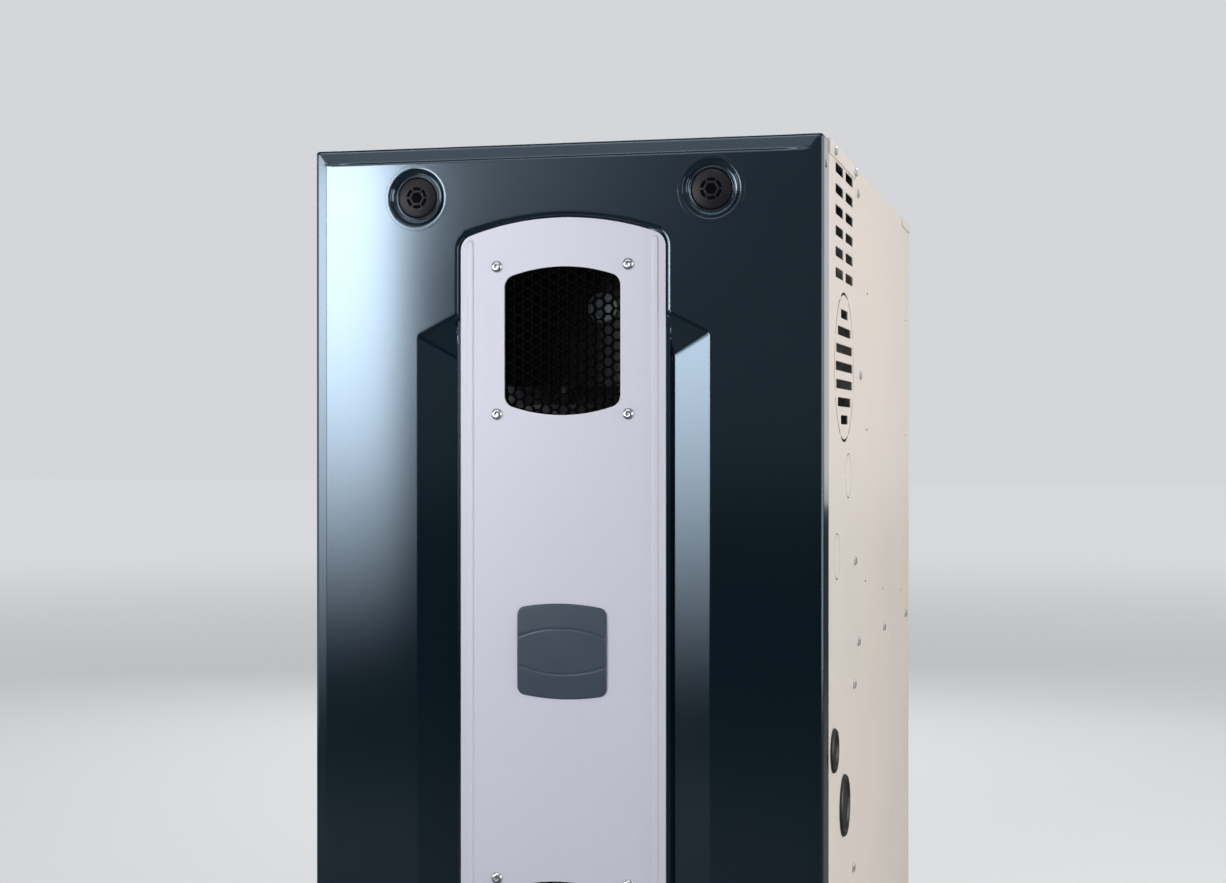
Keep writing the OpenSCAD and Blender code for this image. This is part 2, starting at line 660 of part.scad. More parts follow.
module centre_strip() framed() color("#cfcdd8") difference() {
    union() {
        slab(strip_y, pocket_y) translate([0, mid_z])
            arched(strip_hw, strip_hh, strip_arch_r, strip_corner_r);
        both() difference() {
            translate([rib_x, strip_y + 1.4, mid_z - rib_end]) cylinder(r = 2.8, h = 2 * rib_end);
            block([rib_x - 5, strip_y + 0.5, 0], [rib_x + 5, strip_y + 9, cabinet_h]);
        }
        both() for (s = [-1, 1]) translate([rib_x, strip_y + 1.4, mid_z + rib_end * s]) difference() {
            sphere(r = 2.8);
            translate([-5, -0.9, -5]) cube(10);
        }
    }
    slab(-20, 10) window_outlines(0);
    strip_screw_holes();
}

module window_screens() framed() color("#0c0d0f") difference() {
    slab(screen_y, screen_y + screen_t) difference() {
        window_outlines(screen_margin + 4);
        cell_r = (mesh_pitch - 1.7) / sqrt(3);
        for (z = [upper_window_z, lower_window_z], column = [-7:7], row = [-8:8]) {
            x = column * mesh_pitch * sqrt(3) / 2;
            dz = (row + (column % 2 == 0 ? 0.5 : 0)) * mesh_pitch;
            if (abs(x) < window_hw - 3 && abs(dz) < window_hh - 3 - x * x / (2 * window_arch_r))
                translate([x, z + dz]) circle(cell_r, $fn = 6);
        }
    }
    strip_screw_holes();
}

module badge_plate() framed() color("#3f4854") difference() {
    intersection() {
        slab(-field_rise, strip_y) translate([0, mid_z])
            arched(badge_hw, badge_hh, badge_arch_r, badge_corner_r);
        // crowned face
        side_slab(-badge_hw - 5, badge_hw + 5) translate([0, mid_z]) polygon(concat(
            [[0, badge_hh + 2], [0, -badge_hh - 2]],
            [for (i = [-12:12]) [-field_rise + 1.2 * i * i / 144, i * (badge_hh + 2) / 12]]));
    }
    // the two shallow arc grooves
    for (s = [-1, 1]) slab(-field_rise - 1, -field_rise + 1.9) translate([0, mid_z]) intersection() {
        translate([0, s * 19.4 - s * 100]) difference() {
            circle(100.6, $fn = 180);
            circle(99.4, $fn = 180);
        }
        translate([-badge_hw + 2, s > 0 ? 5 : -25]) square([2 * badge_hw - 4, 20]);
    }
}

module strip_screws() framed() color("#c9ccd0") both() for (z = strip_screw_zs)
    turned_y(strip_screw_x, strip_y, z) difference() {
        polygon([[0, -2.4], [3, -2.2], [4.6, -1.2], [5.15, 0], [2, 0], [2, 6], [0, 6]]);
        polygon([[0, -3], [1.6, -3], [1.6, -1], [0, -1]]);
    }

module door_stiffeners() framed() color("#aeb2b6") for (z = stiffener_zs) difference() {
    block([-inner_w, stiffener_y[0], z], [inner_w, stiffener_y[1], z + stiffener_h]);
    block([-inner_w - overlap, stiffener_y[0] - overlap, z + 1.2],
          [inner_w + overlap, stiffener_y[1] - 1.2, z + stiffener_h - 1.2]);
}

module door_insulation() framed() color("#b8bcc0")
    block([-insulation_x, insulation_y[0], insulation_z[0]],
          [insulation_x, insulation_y[1], insulation_z[1]]);

// a quarter-turn knob: domed face with a hex socket and a ring of arc slots, shaft and blade
module knob(x) {
    back = recess_floor_y - 0.4;
    face = -field_rise;
    difference() {
        turned_y(x, 0, knob_z) polygon(concat(
            [[0, face]], [for (i = [1:6]) let (r = knob_r * i / 7) [r, face + 1.6 * pow(r / knob_r, 2)]],
            [[knob_r - 0.6, face + 1.9], [knob_r, face + 3], [knob_r - 0.8, back], [knob_shaft_r, back],
             [knob_shaft_r, blade_y + blade_t], [0, blade_y + blade_t]]));
        slab(face - 1, face + 6.5) translate([x, knob_z]) circle(8 / sqrt(3), $fn = 6);
        slab(face - 1, face + 5) translate([x, knob_z]) ring_slots(8.3, 2, 6, 2);
        slab(face - 1, face + 1.7) translate([x, knob_z + 13]) polygon([[-1.3, -0.8], [1.3, -0.8], [0, 1.4]]);
    }
    block([x - blade_l / 2, blade_y, knob_z - blade_h / 2],
          [x + blade_l / 2, blade_y + blade_t, knob_z + blade_h / 2]);
}
module knob_left() framed() color("#16171b") knob(-knob_x);
module knob_right() framed() color("#16171b") knob(knob_x);

// ---------- burner section ----------
module burner_box() framed() color("#a9adb1") difference() {
    hw = burner_box_hw;
    union() {
        block([-hw, box_y, box_z[0]], [hw, vestibule_y, box_z[1]]);
        block([-hw - 8, box_y, box_z[0] - 8], [hw + 8, box_y + box_t, box_z[1] + 8]);
        block([-hw - 8, vestibule_y - box_t, box_z[0] - 8], [hw + 8, vestibule_y, box_z[1] + 8]);
    }
    block([-hw + box_t, box_y - 5, box_z[0] + box_t], [hw - box_t, vestibule_y + 5, box_z[1] - box_t]);
    translate([-hw - 2, manifold_y, burner_z]) rotate([0, 90, 0]) cylinder(r = manifold_r + fit, h = 8);
    translate([-intake_x, intake_y, box_z[1] - 5]) cylinder(r = pipe_r - pipe_t, h = 10);
    for (x = [sensor_x, igniter_x]) translate([x, rod_at_y, box_z[0] - 5]) cylinder(r = 4 + fit, h = 10);
}
module burner_box_cover() framed() color("#2a2c2f") difference() {
    union() {
        block([-burner_box_hw - 8, cover_y, box_z[0] - 8], [burner_box_hw + 8, box_y, box_z[1] + 8]);
        for (x = [-70, 60])
            block([x - 25, cover_y - 2, box_z[0] + 12], [x + 25, cover_y + 0.5, box_z[0] + 22]);
        both() for (z = [box_z[0] - 3, box_z[1] + 3])
            translate([burner_box_hw + 3, cover_y, z]) rotate([90, 0, 0]) screw_head();
    }
    rod_y(sight_at[0], sight_at[1], 9, 0, 200);
    rod_y(rollout_at[0], rollout_at[1], 6, 0, 200);
}
module sight_glass() framed() color("#c8d4dc") turned_y(sight_at[0], cover_y, sight_at[1])
    polygon([[0, -1.5], [8, -1.5], [9, -4.5], [12, -4.5], [13.5, -3], [13.5, 0], [8.6, 0],
             [8.6, 2.5], [0, 2.5]]);

module burners() framed() color("#8d9094") {
    hw = burner_box_hw - box_t;
    difference() {
        block([-hw, burner_plate_y, burner_z - 24], [hw, burner_plate_y + box_t, burner_z + 24]);
        for (x = burner_xs) rod_y(x, burner_z, 14, burner_plate_y - 5, burner_plate_y + 5);
    }
    for (x = burner_xs) turned_y(x, burner_plate_y, burner_z)
        polygon([[14, 5], [14, -26], [10, -46], [14, -58], [16, -60], [15, -60], [12.8, -58],
                 [8.8, -46], [12.8, -26], [12.8, 5]]);
}
module gas_manifold() framed() color("#3a3d41") {
    bend_x = valve_x + manifold_bend_r;
    translate([bend_x, manifold_y, burner_z]) rotate([0, 90, 0]) cylinder(r = manifold_r, h = 110 - bend_x);
    translate([bend_x, manifold_y, burner_z - manifold_bend_r]) rotate([90, 0, 0])
        rotate([0, 0, 90]) rotate_extrude(angle = 90) translate([manifold_bend_r, 0]) circle(manifold_r);
    translate([valve_x, manifold_y, valve_top])
        cylinder(r = manifold_r, h = burner_z - manifold_bend_r - valve_top);
    translate([valve_x, manifold_y, valve_top]) cylinder(r = 17, h = 14, $fn = 6);
    translate([106, manifold_y, burner_z]) rotate([0, 90, 0]) cylinder(r = 13.5, h = 12);
    for (x = burner_xs) rod_y(x, burner_z, 8, manifold_y, manifold_y + 12);
}
module gas_orifices() framed() color("#c9a24b") for (x = burner_xs) {
    slab(manifold_y + 12, manifold_y + 17) translate([x, burner_z]) circle(6.5, $fn = 6);
    turned_y(x, manifold_y + 16, burner_z) polygon([[0, 0], [4, 0], [4, 2], [2.4, 5], [0, 5]]);
}
module gas_valve() framed() color("#9aa0a6") difference() {
    low = [valve_x - valve_size[0] / 2, valve_y - valve_size[1] / 2, valve_top - valve_size[2]];
    high = [valve_x + valve_size[0] / 2, valve_y + valve_size[1] / 2, valve_top];
    union() {
        block(low + [0, 0, 14], high - [0, 0, 12]);
        translate([valve_x, valve_y + 4, low[2]]) cylinder(r = 18, h = 20, $fn = 8);
        translate([valve_x, manifold_y, high[2] - 14]) cylinder(r = 18, h = 14, $fn = 8);
        rod_y(valve_x + 16, high[2] - 30, 12, low[1] - 14, low[1] + 1);
        rod_y(valve_x + 16, high[2] - 30, 7, low[1] - 18, low[1]);
        block([low[0] + 4, low[1] - 10, low[2] + 50], [low[0] + 26, low[1] + 1, low[2] + 66]);
    }
    translate([valve_x, valve_y + 4, low[2] - 1]) cylinder(r = gas_inlet_r, h = gas_inlet_l + 1);
    rod_y(valve_x - 8, low[2] + 30, 3 + running, low[1] - 5, low[1] + 9);
}
module gas_valve_knob() framed() color("#b3312b") {
    z = valve_top - valve_size[2] + 30;
    y = valve_y - valve_size[1] / 2;
    rod_y(valve_x - 8, z, 12, y - 5, y - fit);
    rod_y(valve_x - 8, z, 3, y - 1, y + 8);
    block([valve_x - 11, y - 12, z - 11], [valve_x - 5, y - 4, z + 11]);
}
module igniter() framed() color("#e6e2d8") {
    block([igniter_x - 8, rod_at_y - 5.8, box_z[0] - 1.4], [igniter_x + 8, rod_at_y + 7, box_z[0]]);
    translate([igniter_x, rod_at_y, box_z[0] - 14]) cylinder(r = 4, h = 36);
    block([igniter_x - 3.5, rod_at_y - 0.8, box_z[0] + 20], [igniter_x + 3.5, rod_at_y + 0.8, burner_z - 2]);
}
module flame_sensor() framed() color("#d8d4cc") {
    block([sensor_x - 8, rod_at_y - 5.8, box_z[0] - 1.4], [sensor_x + 8, rod_at_y + 7, box_z[0]]);
    translate([sensor_x, rod_at_y, box_z[0] - 14]) cylinder(r = 4, h = 36);
    translate([sensor_x, rod_at_y, box_z[0] + 20]) cylinder(r = 1.4, h = burner_z - box_z[0] - 22);
}
module rollout_switch() framed() color("#202226") difference() {
    union() {
        rod_y(rollout_at[0], rollout_at[1], 9, cover_y - 12, cover_y);
        block([rollout_at[0] - 16, cover_y - 1.2, rollout_at[1] - 6],
              [rollout_at[0] + 16, cover_y, rollout_at[1] + 6]);
        rod_y(rollout_at[0], rollout_at[1], 5.5, cover_y - 0.5, box_y + 4);
        for (s = [-1, 1]) block([rollout_at[0] + 6 * s - 1.5, cover_y - 18, rollout_at[1] - 6],
                                [rollout_at[0] + 6 * s - 1, cover_y - 11, rollout_at[1]]);
    }
    rod_y(rollout_at[0], rollout_at[1] + 3, 2.5 + fit, cover_y - 30, cover_y - 7);
}
module rollout_reset_button() framed() color("#c23a30")
    rod_y(rollout_at[0], rollout_at[1] + 3, 2.5, cover_y - 15.5, cover_y - 9.3);
module pipe(x, y, low, high) translate([x, y, low]) difference() {
    cylinder(r = pipe_r, h = high - low);
    translate([0, 0, -overlap]) cylinder(r = pipe_r - pipe_t, h = high - low + 2 * overlap);
}
module intake_pipe() framed() color("#e4e2dc")
    pipe(-intake_x, intake_y, box_z[1], collar_stop_z[0] - fit);

// ---------- vent and condensate ----------
module inducer_outline(t) {
    right = vent_x - inducer_x + pipe_r + t;
    left = vent_x - inducer_x - pipe_r - t;
    polygon(concat(spiral(inducer_r0, inducer_r1, inducer_cut_a, t, 40),
                   [[right, inducer_top_z - inducer_z], [left, inducer_top_z - inducer_z]]));
}
module inducer_housing() framed() color("#2a2c30") difference() {
    union() {
        slab(scroll_y[0], scroll_y[1]) translate([inducer_x, inducer_z]) inducer_outline(scroll_t);
        translate([vent_x, vent_y, inducer_top_z - 8]) cylinder(r = pipe_r, h = outlet_collar_l + 8);
        for (a = [60, 180, 300]) rotate_about(a)
            rod_y(inducer_x + 64, inducer_z, 5, scroll_y[1] - 6, scroll_y[1]);
    }
    slab(scroll_y[0] + scroll_t, scroll_y[1] - scroll_t) translate([inducer_x, inducer_z])
        inducer_outline(0);
    translate([vent_x, vent_y, inducer_top_z - 20]) cylinder(r = 25, h = 60);
    rod_y(inducer_x, inducer_z, 12, scroll_y[0] - 5, scroll_y[0] + 5);
    rod_y(inducer_x, inducer_z, 32, scroll_y[1] - 5, scroll_y[1] + 5);
}
module rotate_about(a) translate([inducer_x, 0, inducer_z]) rotate([0, a, 0])
    translate([-inducer_x, 0, -inducer_z]) children();
// one forward curved blade from radius r0 to r1, bent by a degrees
module blade(r0, r1, a, t) {
    n = 4;
    line = [for (i = [0:n]) let (s = i / n, r = r0 + (r1 - r0) * s, b = a * s * s)
        r * [cos(b), sin(b)]];
    polygon(concat(line,
        [for (i = [n:-1:0]) let (p = line[i], b = 50 * i / n) p + t * [-sin(b), cos(b)]]));
}
module inducer_wheel() framed() color("#777b80") {
    slab(scroll_y[0] + 8, scroll_y[1] - 8) translate([inducer_x, inducer_z])
        for (i = [0:inducer_blades - 1]) rotate(360 * i / inducer_blades)
            blade(inducer_wheel_r - 16, inducer_wheel_r, 14, 1.2);
    slab(scroll_y[0] + 6.8, scroll_y[0] + 8) translate([inducer_x, inducer_z]) circle(inducer_wheel_r + 0.4);
    slab(scroll_y[1] - 8, scroll_y[1] - 7) translate([inducer_x, inducer_z]) difference() {
        circle(inducer_wheel_r + 0.4);
        circle(inducer_wheel_r - 16.2);
    }
    rod_y(inducer_x, inducer_z, inducer_shaft_r, scroll_y[0] - 30, scroll_y[0] + 26);
    rod_y(inducer_x, inducer_z, 9, scroll_y[0] + 7, scroll_y[0] + 24);
}
module inducer_motor() framed() color("#35383d") difference() {
    union() {
        rod_y(inducer_x, inducer_z, 40, inducer_motor_y + 10, scroll_y[0] - 8);
        rod_y(inducer_x, inducer_z, 44, inducer_motor_y + 24, scroll_y[0] - 22);
        rod_y(inducer_x, inducer_z, 20, inducer_motor_y, inducer_motor_y + 11);
        rod_y(inducer_x, inducer_z, 14, scroll_y[0] - 9, scroll_y[0] - 1);
        for (a = [30, 150, 270]) rotate_about(a)
            rod_y(inducer_x + 44, inducer_z, 6, scroll_y[0] - 28, scroll_y[0]);
    }
    rod_y(inducer_x, inducer_z, inducer_shaft_r + running, scroll_y[0] - 34, scroll_y[0] + 5);
    for (i = [0:11]) rotate_about(30 * i + 15)
        block([inducer_x + 26, inducer_motor_y + 8, inducer_z - 2],
              [inducer_x + 35, inducer_motor_y + 16, inducer_z + 2]);
}
module collector_box() framed() color("#1e2023") difference() {
    union() {
        block([-collector_hw, collector_y, collector_z[0]], [collector_hw, vestibule_y, collector_z[1]]);
        block([-collector_hw - 7, vestibule_y - 3, collector_z[0] - 7],
              [collector_hw + 7, vestibule_y, collector_z[1] + 7]);
        for (x = [-150, -110, -70, -30])
            block([x, collector_y - 4, collector_z[0] + 6], [x + 3, collector_y + 1, collector_z[1] - 6]);
    }
    block([-collector_hw + 3, collector_y + 3, collector_z[0] + 3],
          [collector_hw - 3, vestibule_y + 5, collector_z[1] - 3]);
    rod_y(inducer_x, inducer_z, 32, collector_y - 10, collector_y + 10);
}
module vent_coupling() framed() color("#1d1e20") translate([vent_x, vent_y, inducer_top_z + 4]) {
    difference() {
        cylinder(r = pipe_r + 4, h = 44);
        translate([0, 0, -1]) cylinder(r = pipe_r + fit, h = 50);
    }
    for (z = [5, 33]) translate([0, 0, z]) difference() {
        cylinder(r = pipe_r + 5.2, h = 7);
        translate([0, 0, -1]) cylinder(r = pipe_r + 3, h = 9);
    }
}
module vent_pipe() framed() color("#e4e2dc")
    pipe(vent_x, vent_y, inducer_top_z + outlet_collar_l + fit, collar_stop_z[0] - fit);
module pressure_switch() framed() color("#d9d9d6") {
    x = switch_at[0];
    z = switch_at[1];
    y = switch_back_y;
    rod_y(x, z, 34, y - 20, y - 8);
    rod_y(x, z, 26, y - 24, y - 19);
    rod_y(x, z, 30, y - 9, y);
    rod_y(x, z - 20, 3.4, y - 26, y - 22);
    block([x - 2, y - 24, z + 8], [x + 14, y - 19.5, z + 16]);
    difference() {
        block([x - 40, y, z - 35], [x + 40, y + 1.5, z + 35]);
        rod_y(x + 34, z + 30, 2.4, y - 5, y + 5);
    }
    for (p = [[-34, -29], [34, -29], [-34, 29]]) rod_y(x + p[0], z + p[1], 4, y + 1, vestibule_y);
}
module pressure_tube() framed() color("#c9c7be") swept(pressure_points, 3.2);
module condensate_trap() framed() color("#d6d7d4") {
    difference() {
        block([trap_x[0], trap_y[0], trap_z[0]], [trap_x[1], trap_y[1], trap_z[1] - 12]);
        block([trap_x[0] + 33, trap_y[0] - 1, trap_z[0] + 42], [trap_x[0] + 36, trap_y[1] + 1, trap_z[1]]);
        block([trap_x[0] + 56, trap_y[0] - 1, trap_z[0] - 1],
              [trap_x[0] + 59, trap_y[1] + 1, trap_z[1] - 40]);
    }
    block([trap_x[0] - 4, trap_y[0] - 3, trap_z[1] - 14], [trap_x[1] + 4, trap_y[1], trap_z[1] - 8]);
    translate([trap_inlet[0], trap_inlet[1], trap_z[1] - 10]) cylinder(r = 9, h = 10);
    translate([trap_x[0] + 12, trap_inlet[1], trap_z[1] - 10]) cylinder(r = 6, h = 10);
    rod_y(drain_at[0], drain_at[1], drain_r, trap_y[0] - drain_l, trap_y[0] + 1);
}
module drain_hose() framed() color("#2a2b2d") swept(drain_points, 8, 10);

// ---------- heat exchanger ----------
module tube_bend(x, y, z, side, r) translate([x, y, z]) rotate([0, 0, 90]) rotate([90, 0, 0])
    rotate([0, 0, side > 0 ? -90 : 90]) rotate_extrude(angle = 180) translate([bend_r, 0]) circle(r);
module tube_path(x, r, end) {
    rod_y(x, pass_zs[0], r, tube_front_y - end, rear_bend_y);
    tube_bend(x, rear_bend_y, pass_zs[0] - bend_r, 1, r);
    rod_y(x, pass_zs[1], r, front_bend_y, rear_bend_y);
    tube_bend(x, front_bend_y, pass_zs[1] - bend_r, -1, r);
    rod_y(x, pass_zs[2], r, front_bend_y, rear_header_y + end);
}
module heat_exchanger_tubes() framed() color("#a7a49e") for (x = burner_xs) difference() {
    tube_path(x, tube_r, 0);
    tube_path(x, tube_r - tube_t, overlap);
}
module rear_header_box() framed() color("#9b9892") {
    difference() {
        union() {
            block([-coil_hw, rear_header_y, header_z[0]],
                  [coil_hw, rear_header_y + rear_header_d, header_z[1]]);
            block([-coil_hw - 8, rear_header_y, header_z[0] - 8],
                  [coil_hw + 8, rear_header_y + 1.5, header_z[1] + 8]);
        }
        block([1.5 - coil_hw, rear_header_y + 1.5, header_z[0] + 1.5],
              [coil_hw - 1.5, rear_header_y + rear_header_d - 1.5, header_z[1] - 1.5]);
        for (x = burner_xs) rod_y(x, pass_zs[2], tube_r - tube_t, rear_header_y - 1, rear_header_y + 3);
    }
    both() for (z = [header_z[0] + 10, header_z[1] - 30])
        block([coil_hw - 1, rear_header_y, z], [inner_w, rear_header_y + 3, z + 20]);
}
module secondary_coil() framed() color("#b4b6b6") {
    y0 = vestibule_y + sheet;
    y1 = rear_header_y;
    pitch = (y1 - y0 - 40) / (fin_count - 1);
    block([-coil_hw, y0, coil_z[0]], [coil_hw, y0 + 3, coil_z[1]]);
    block([-coil_hw, y1 - 3, coil_z[0]], [coil_hw, y1, coil_z[1]]);
    both() block([coil_hw - 2, y0 + 2, coil_z[0]], [coil_hw, y1 - 2, coil_z[1]]);
    for (i = [0:fin_count - 1])
        block([-coil_hw + 1, y0 + 20 + i * pitch, coil_z[0] + 2],
              [coil_hw - 1, y0 + 21 + i * pitch, coil_z[1] - 2]);
    for (row = [0, 1], k = [-3:3])
        rod_y(k * 50 + row * 12 - 6, coil_z[0] + 22 + row * 36, 8, y0 + 2, y1 - 2);
}
module limit_switch() framed() color("#26282c") {
    x = limit_at[0];
    z = limit_at[1];
    rod_y(x, z, 12, vestibule_y - 10, vestibule_y);
    rod_y(x, z, 4, vestibule_y - 1, vestibule_y + 36);
    for (s = [-1, 1])
        block([x + 5 * s - 0.5, vestibule_y - 17, z - 3], [x + 5 * s + 0.5, vestibule_y - 9, z + 3]);
}

// ---------- blower ----------
module blower_outline(t) {
    top = deck_z - blower_z;
    polygon(concat(spiral(blower_r0, blower_r1, blower_cut_a, t, 48),
                   [[blower_r1 + t, top], [blower_r0 * cos(blower_cut_a) - t, top]]));
}
module blower_housing() framed() color("#b4b7ba") {
    x1 = scroll_w / 2 - 0.5;
    x0 = x1 - scroll_sheet;
    outlet_y = blower_y + blower_r0 * cos(blower_cut_a);
    difference() {
        union() {
            side_slab(-x1, x1) translate([blower_y, blower_z]) blower_outline(0);
            block([-x1 - 12, outlet_y - 12, deck_z - 1.5], [x1 + 12, blower_y + blower_r1 + 10, deck_z]);
        }
        side_slab(-x0, x0) translate([blower_y, blower_z]) blower_outline(-scroll_sheet);
        block([-x0, outlet_y + scroll_sheet, deck_z - 12],
              [x0, blower_y + blower_r1 - scroll_sheet, deck_z + 5]);
        translate([-x1 - 5, blower_y, blower_z]) rotate([0, 90, 0])
            cylinder(r = inlet_r, h = 2 * x1 + 10);
    }
    // bell mouths of the two inlets
    both() translate([x0, blower_y, blower_z]) rotate([0, 90, 0]) rotate_extrude()
        polygon([[inlet_r + 1, scroll_sheet], [inlet_r - 6, -6], [inlet_r - 4.8, -6], [inlet_r + 5, 0],
                 [inlet_r + 5, scroll_sheet]]);
}
module blower_wheel() framed() color("#8f949a") translate([0, blower_y, blower_z]) rotate([0, 90, 0]) {
    translate([0, 0, -blower_w / 2]) linear_extrude(blower_w)
        for (i = [0:blower_blades - 1]) rotate(360 * i / blower_blades)
            blade(blower_in_r, blower_r - 1.5, 7, 1);
    for (z = [-blower_w / 2 - 0.5, blower_w / 2 - 3.5]) translate([0, 0, z]) difference() {
        cylinder(r = blower_r, h = 4);
        translate([0, 0, -1]) cylinder(r = blower_r - 4, h = 6);
    }
    translate([0, 0, -12]) cylinder(r = blower_r - 2, h = 1.5);
    translate([0, 0, -22]) cylinder(r = 20, h = 24);
    translate([0, 0, -30]) cylinder(r = blower_shaft_r, h = 80);
}
module blower_motor() framed() color("#2f3237")
    translate([0, blower_y, blower_z]) rotate([0, 90, 0]) difference() {
        union() {
            translate([0, 0, motor_x[0]]) cylinder(r = motor_r, h = motor_x[1] - motor_x[0]);
            translate([0, 0, motor_x[0] - 5]) cylinder(r = 24, h = 6);
            translate([0, 0, motor_x[1] - 1]) cylinder(r = motor_r - 14, h = 14);
        }
        translate([0, 0, motor_x[0] - 8]) cylinder(r = blower_shaft_r + running, h = 50);
        for (i = [0:15]) rotate(22.5 * i) translate([motor_r - 8, -3, motor_x[1] - 14]) cube([12, 6, 9]);
    }
module motor_mount() framed() color("#9a9da1") translate([0, blower_y, blower_z]) rotate([0, 90, 0]) {
    band_x = scroll_w / 2 - 4;
    translate([0, 0, band_x - 14]) difference() {
        cylinder(r = motor_r + 3, h = 22);
        translate([0, 0, -1]) cylinder(r = motor_r + fit, h = 26);
    }
    for (a = [30, 150, 270]) rotate(a) {
        translate([motor_r + 2, -7, band_x + 4]) cube([inlet_r - motor_r + 22, 14, 3]);
        translate([inlet_r + 10, -7, scroll_w / 2 - 0.49]) cube([14, 14, 1.6]);
    }
}

// ---------- controls ----------
module control_panel() framed() color("#b9bbbd") {
    block([panel_x[0], panel_y, panel_z[0]], [panel_x[1], panel_y + 1.2, panel_z[1]]);
    for (x = [panel_x[0], panel_x[1] - 1.2])
        block([x, panel_y, panel_z[0]], [x + 1.2, blower_door_y, panel_z[1]]);
}
module control_board() framed() color("#2f6b46") translate([panel_x[0] + 12, panel_y, panel_z[0] + 17]) {
    block([0, -6.6, 0], [140, -5, 160]);
    for (x = [6, 134], z = [6, 154]) rod_y(x, z, 3, -6, 0);
    // relays, the terminal block, fuses and connectors
    for (i = [0:2]) block([8 + i * 24, -25, 98], [27 + i * 24, -6, 126]);
    block([82, -22, 98], [128, -6, 120]);
    for (i = [0:4]) block([10 + i * 20, -18, 4], [24 + i * 20, -6, 12]);
    for (i = [0:3]) rod_y(16 + i * 18, 74, 6, -24, -6);
    block([88, -18, 38], [108, -6, 68]);
    block([116, -14, 30], [124, -6, 80]);
    for (i = [0:4]) block([22 + i * 20, -30, 146], [38 + i * 20, -6, 156]);
    rod_y(130, 138, 2.5, -11, -6);
}
module transformer() framed() color("#5b5f64") translate([0, blower_door_y, panel_z[0] + 84]) {
    block([-18, -46, 6], [42, -8, 63]);
    block([-8, -56, 13], [32, -2, 56]);
    block([-26, -6, 0], [50, -4, 69]);
    for (x = [-26, 38]) block([x, -5, 0], [x + 12, 0, 10]);
}
module junction_box() framed() color("#aab0b5") {
    x = half_w - 72.25;
    y = blower_door_y - 66;
    difference() {
        block([x, y, 110], [inner_w, blower_door_y, 200]);
        block([x + 2, y - 1, 112], [inner_w - 2, blower_door_y - 2, 198]);
    }
    block([x - 1, y - 2, 109], [inner_w, y, 201]);
    for (z = [120, 190]) translate([x + 34, y - 2, z]) rotate([90, 0, 0]) screw_head();
}
module door_switch() framed() color("#232529") difference() {
    union() {
        block([switch_x - 15, 40, stiffener_zs[1] - 4], [switch_x + 12, 70, stiffener_zs[1] + 24]);
        block([-inner_w, 66, stiffener_zs[1] - 4], [switch_x - 10, 68, stiffener_zs[1] + 24]);
        block([-inner_w, 56, stiffener_zs[1] - 4], [-inner_w + 1.5, 82, stiffener_zs[1] + 24]);
    }
    rod_y(switch_x, stiffener_zs[1] + 10, 4 + fit, 30, 60);
}
module door_switch_plunger() framed() color("#e8e6e0")
    rod_y(switch_x, stiffener_zs[1] + 10, 4, stiffener_y[1] + fit, 54);
module wire_harness() framed() color("#a32020") for (run = wire_runs) swept(run, wire_r, 6);

left_side_panel();
right_side_panel();
back_panel();
base_pan();
top_front_panel();
latch_keepers();
door_gasket();
cabinet_screws();
hole_plugs();
vestibule_panel();
blower_deck();
blower_door();
pipe_collars();
door_shell();
centre_strip();
window_screens();
badge_plate();
strip_screws();
door_stiffeners();
door_insulation();
knob_left();
knob_right();
burner_box();
burner_box_cover();
sight_glass();
burners();
gas_manifold();
gas_orifices();
gas_valve();
gas_valve_knob();
igniter();
flame_sensor();
rollout_switch();
rollout_reset_button();
intake_pipe();
inducer_housing();
inducer_wheel();
inducer_motor();
collector_box();
vent_coupling();
vent_pipe();
pressure_switch();
pressure_tube();
condensate_trap();
drain_hose();
heat_exchanger_tubes();
rear_header_box();
secondary_coil();
limit_switch();
blower_housing();
blower_wheel();
blower_motor();
motor_mount();
control_panel();
control_board();
transformer();
junction_box();
door_switch();
door_switch_plunger();
wire_harness();
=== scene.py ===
import json
import math

import bpy
import numpy as np
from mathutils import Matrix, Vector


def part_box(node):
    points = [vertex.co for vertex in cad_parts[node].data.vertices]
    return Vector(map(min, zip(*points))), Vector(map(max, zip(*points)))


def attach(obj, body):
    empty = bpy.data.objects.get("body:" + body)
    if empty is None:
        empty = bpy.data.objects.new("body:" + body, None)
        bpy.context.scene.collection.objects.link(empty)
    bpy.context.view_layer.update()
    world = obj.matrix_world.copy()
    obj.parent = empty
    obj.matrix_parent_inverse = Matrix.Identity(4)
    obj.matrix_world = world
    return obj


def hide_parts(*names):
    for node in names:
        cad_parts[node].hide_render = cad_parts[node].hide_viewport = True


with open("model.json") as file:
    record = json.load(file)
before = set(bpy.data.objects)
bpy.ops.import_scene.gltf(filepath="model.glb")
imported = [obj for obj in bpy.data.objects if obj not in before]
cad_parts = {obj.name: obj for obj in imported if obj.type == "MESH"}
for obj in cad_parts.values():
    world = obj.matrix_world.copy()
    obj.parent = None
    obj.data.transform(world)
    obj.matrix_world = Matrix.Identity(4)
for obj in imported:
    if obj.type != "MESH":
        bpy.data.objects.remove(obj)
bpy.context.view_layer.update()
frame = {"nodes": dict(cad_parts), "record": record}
nodes = frame["nodes"]
print("frame loaded:", len(nodes), "nodes")

# The pieces are given in millimetres. Depths count from the plane frontY, six millimetres behind
# the door's raised face; midZ is half the cabinet's height.
mm = 0.001
frontY = -359.0
midZ = 431.8

camera = {
    "place": (0.4435, -1.9553, 0.6140),    # metres
    "yaw": 14.06,                          # degrees, turned to its left
    "pitch": -0.133,                       # degrees, negative when tipped down
    "lens": 57.34,
    "sensor": 36.0,
    "clip": (0.02, 60),
}


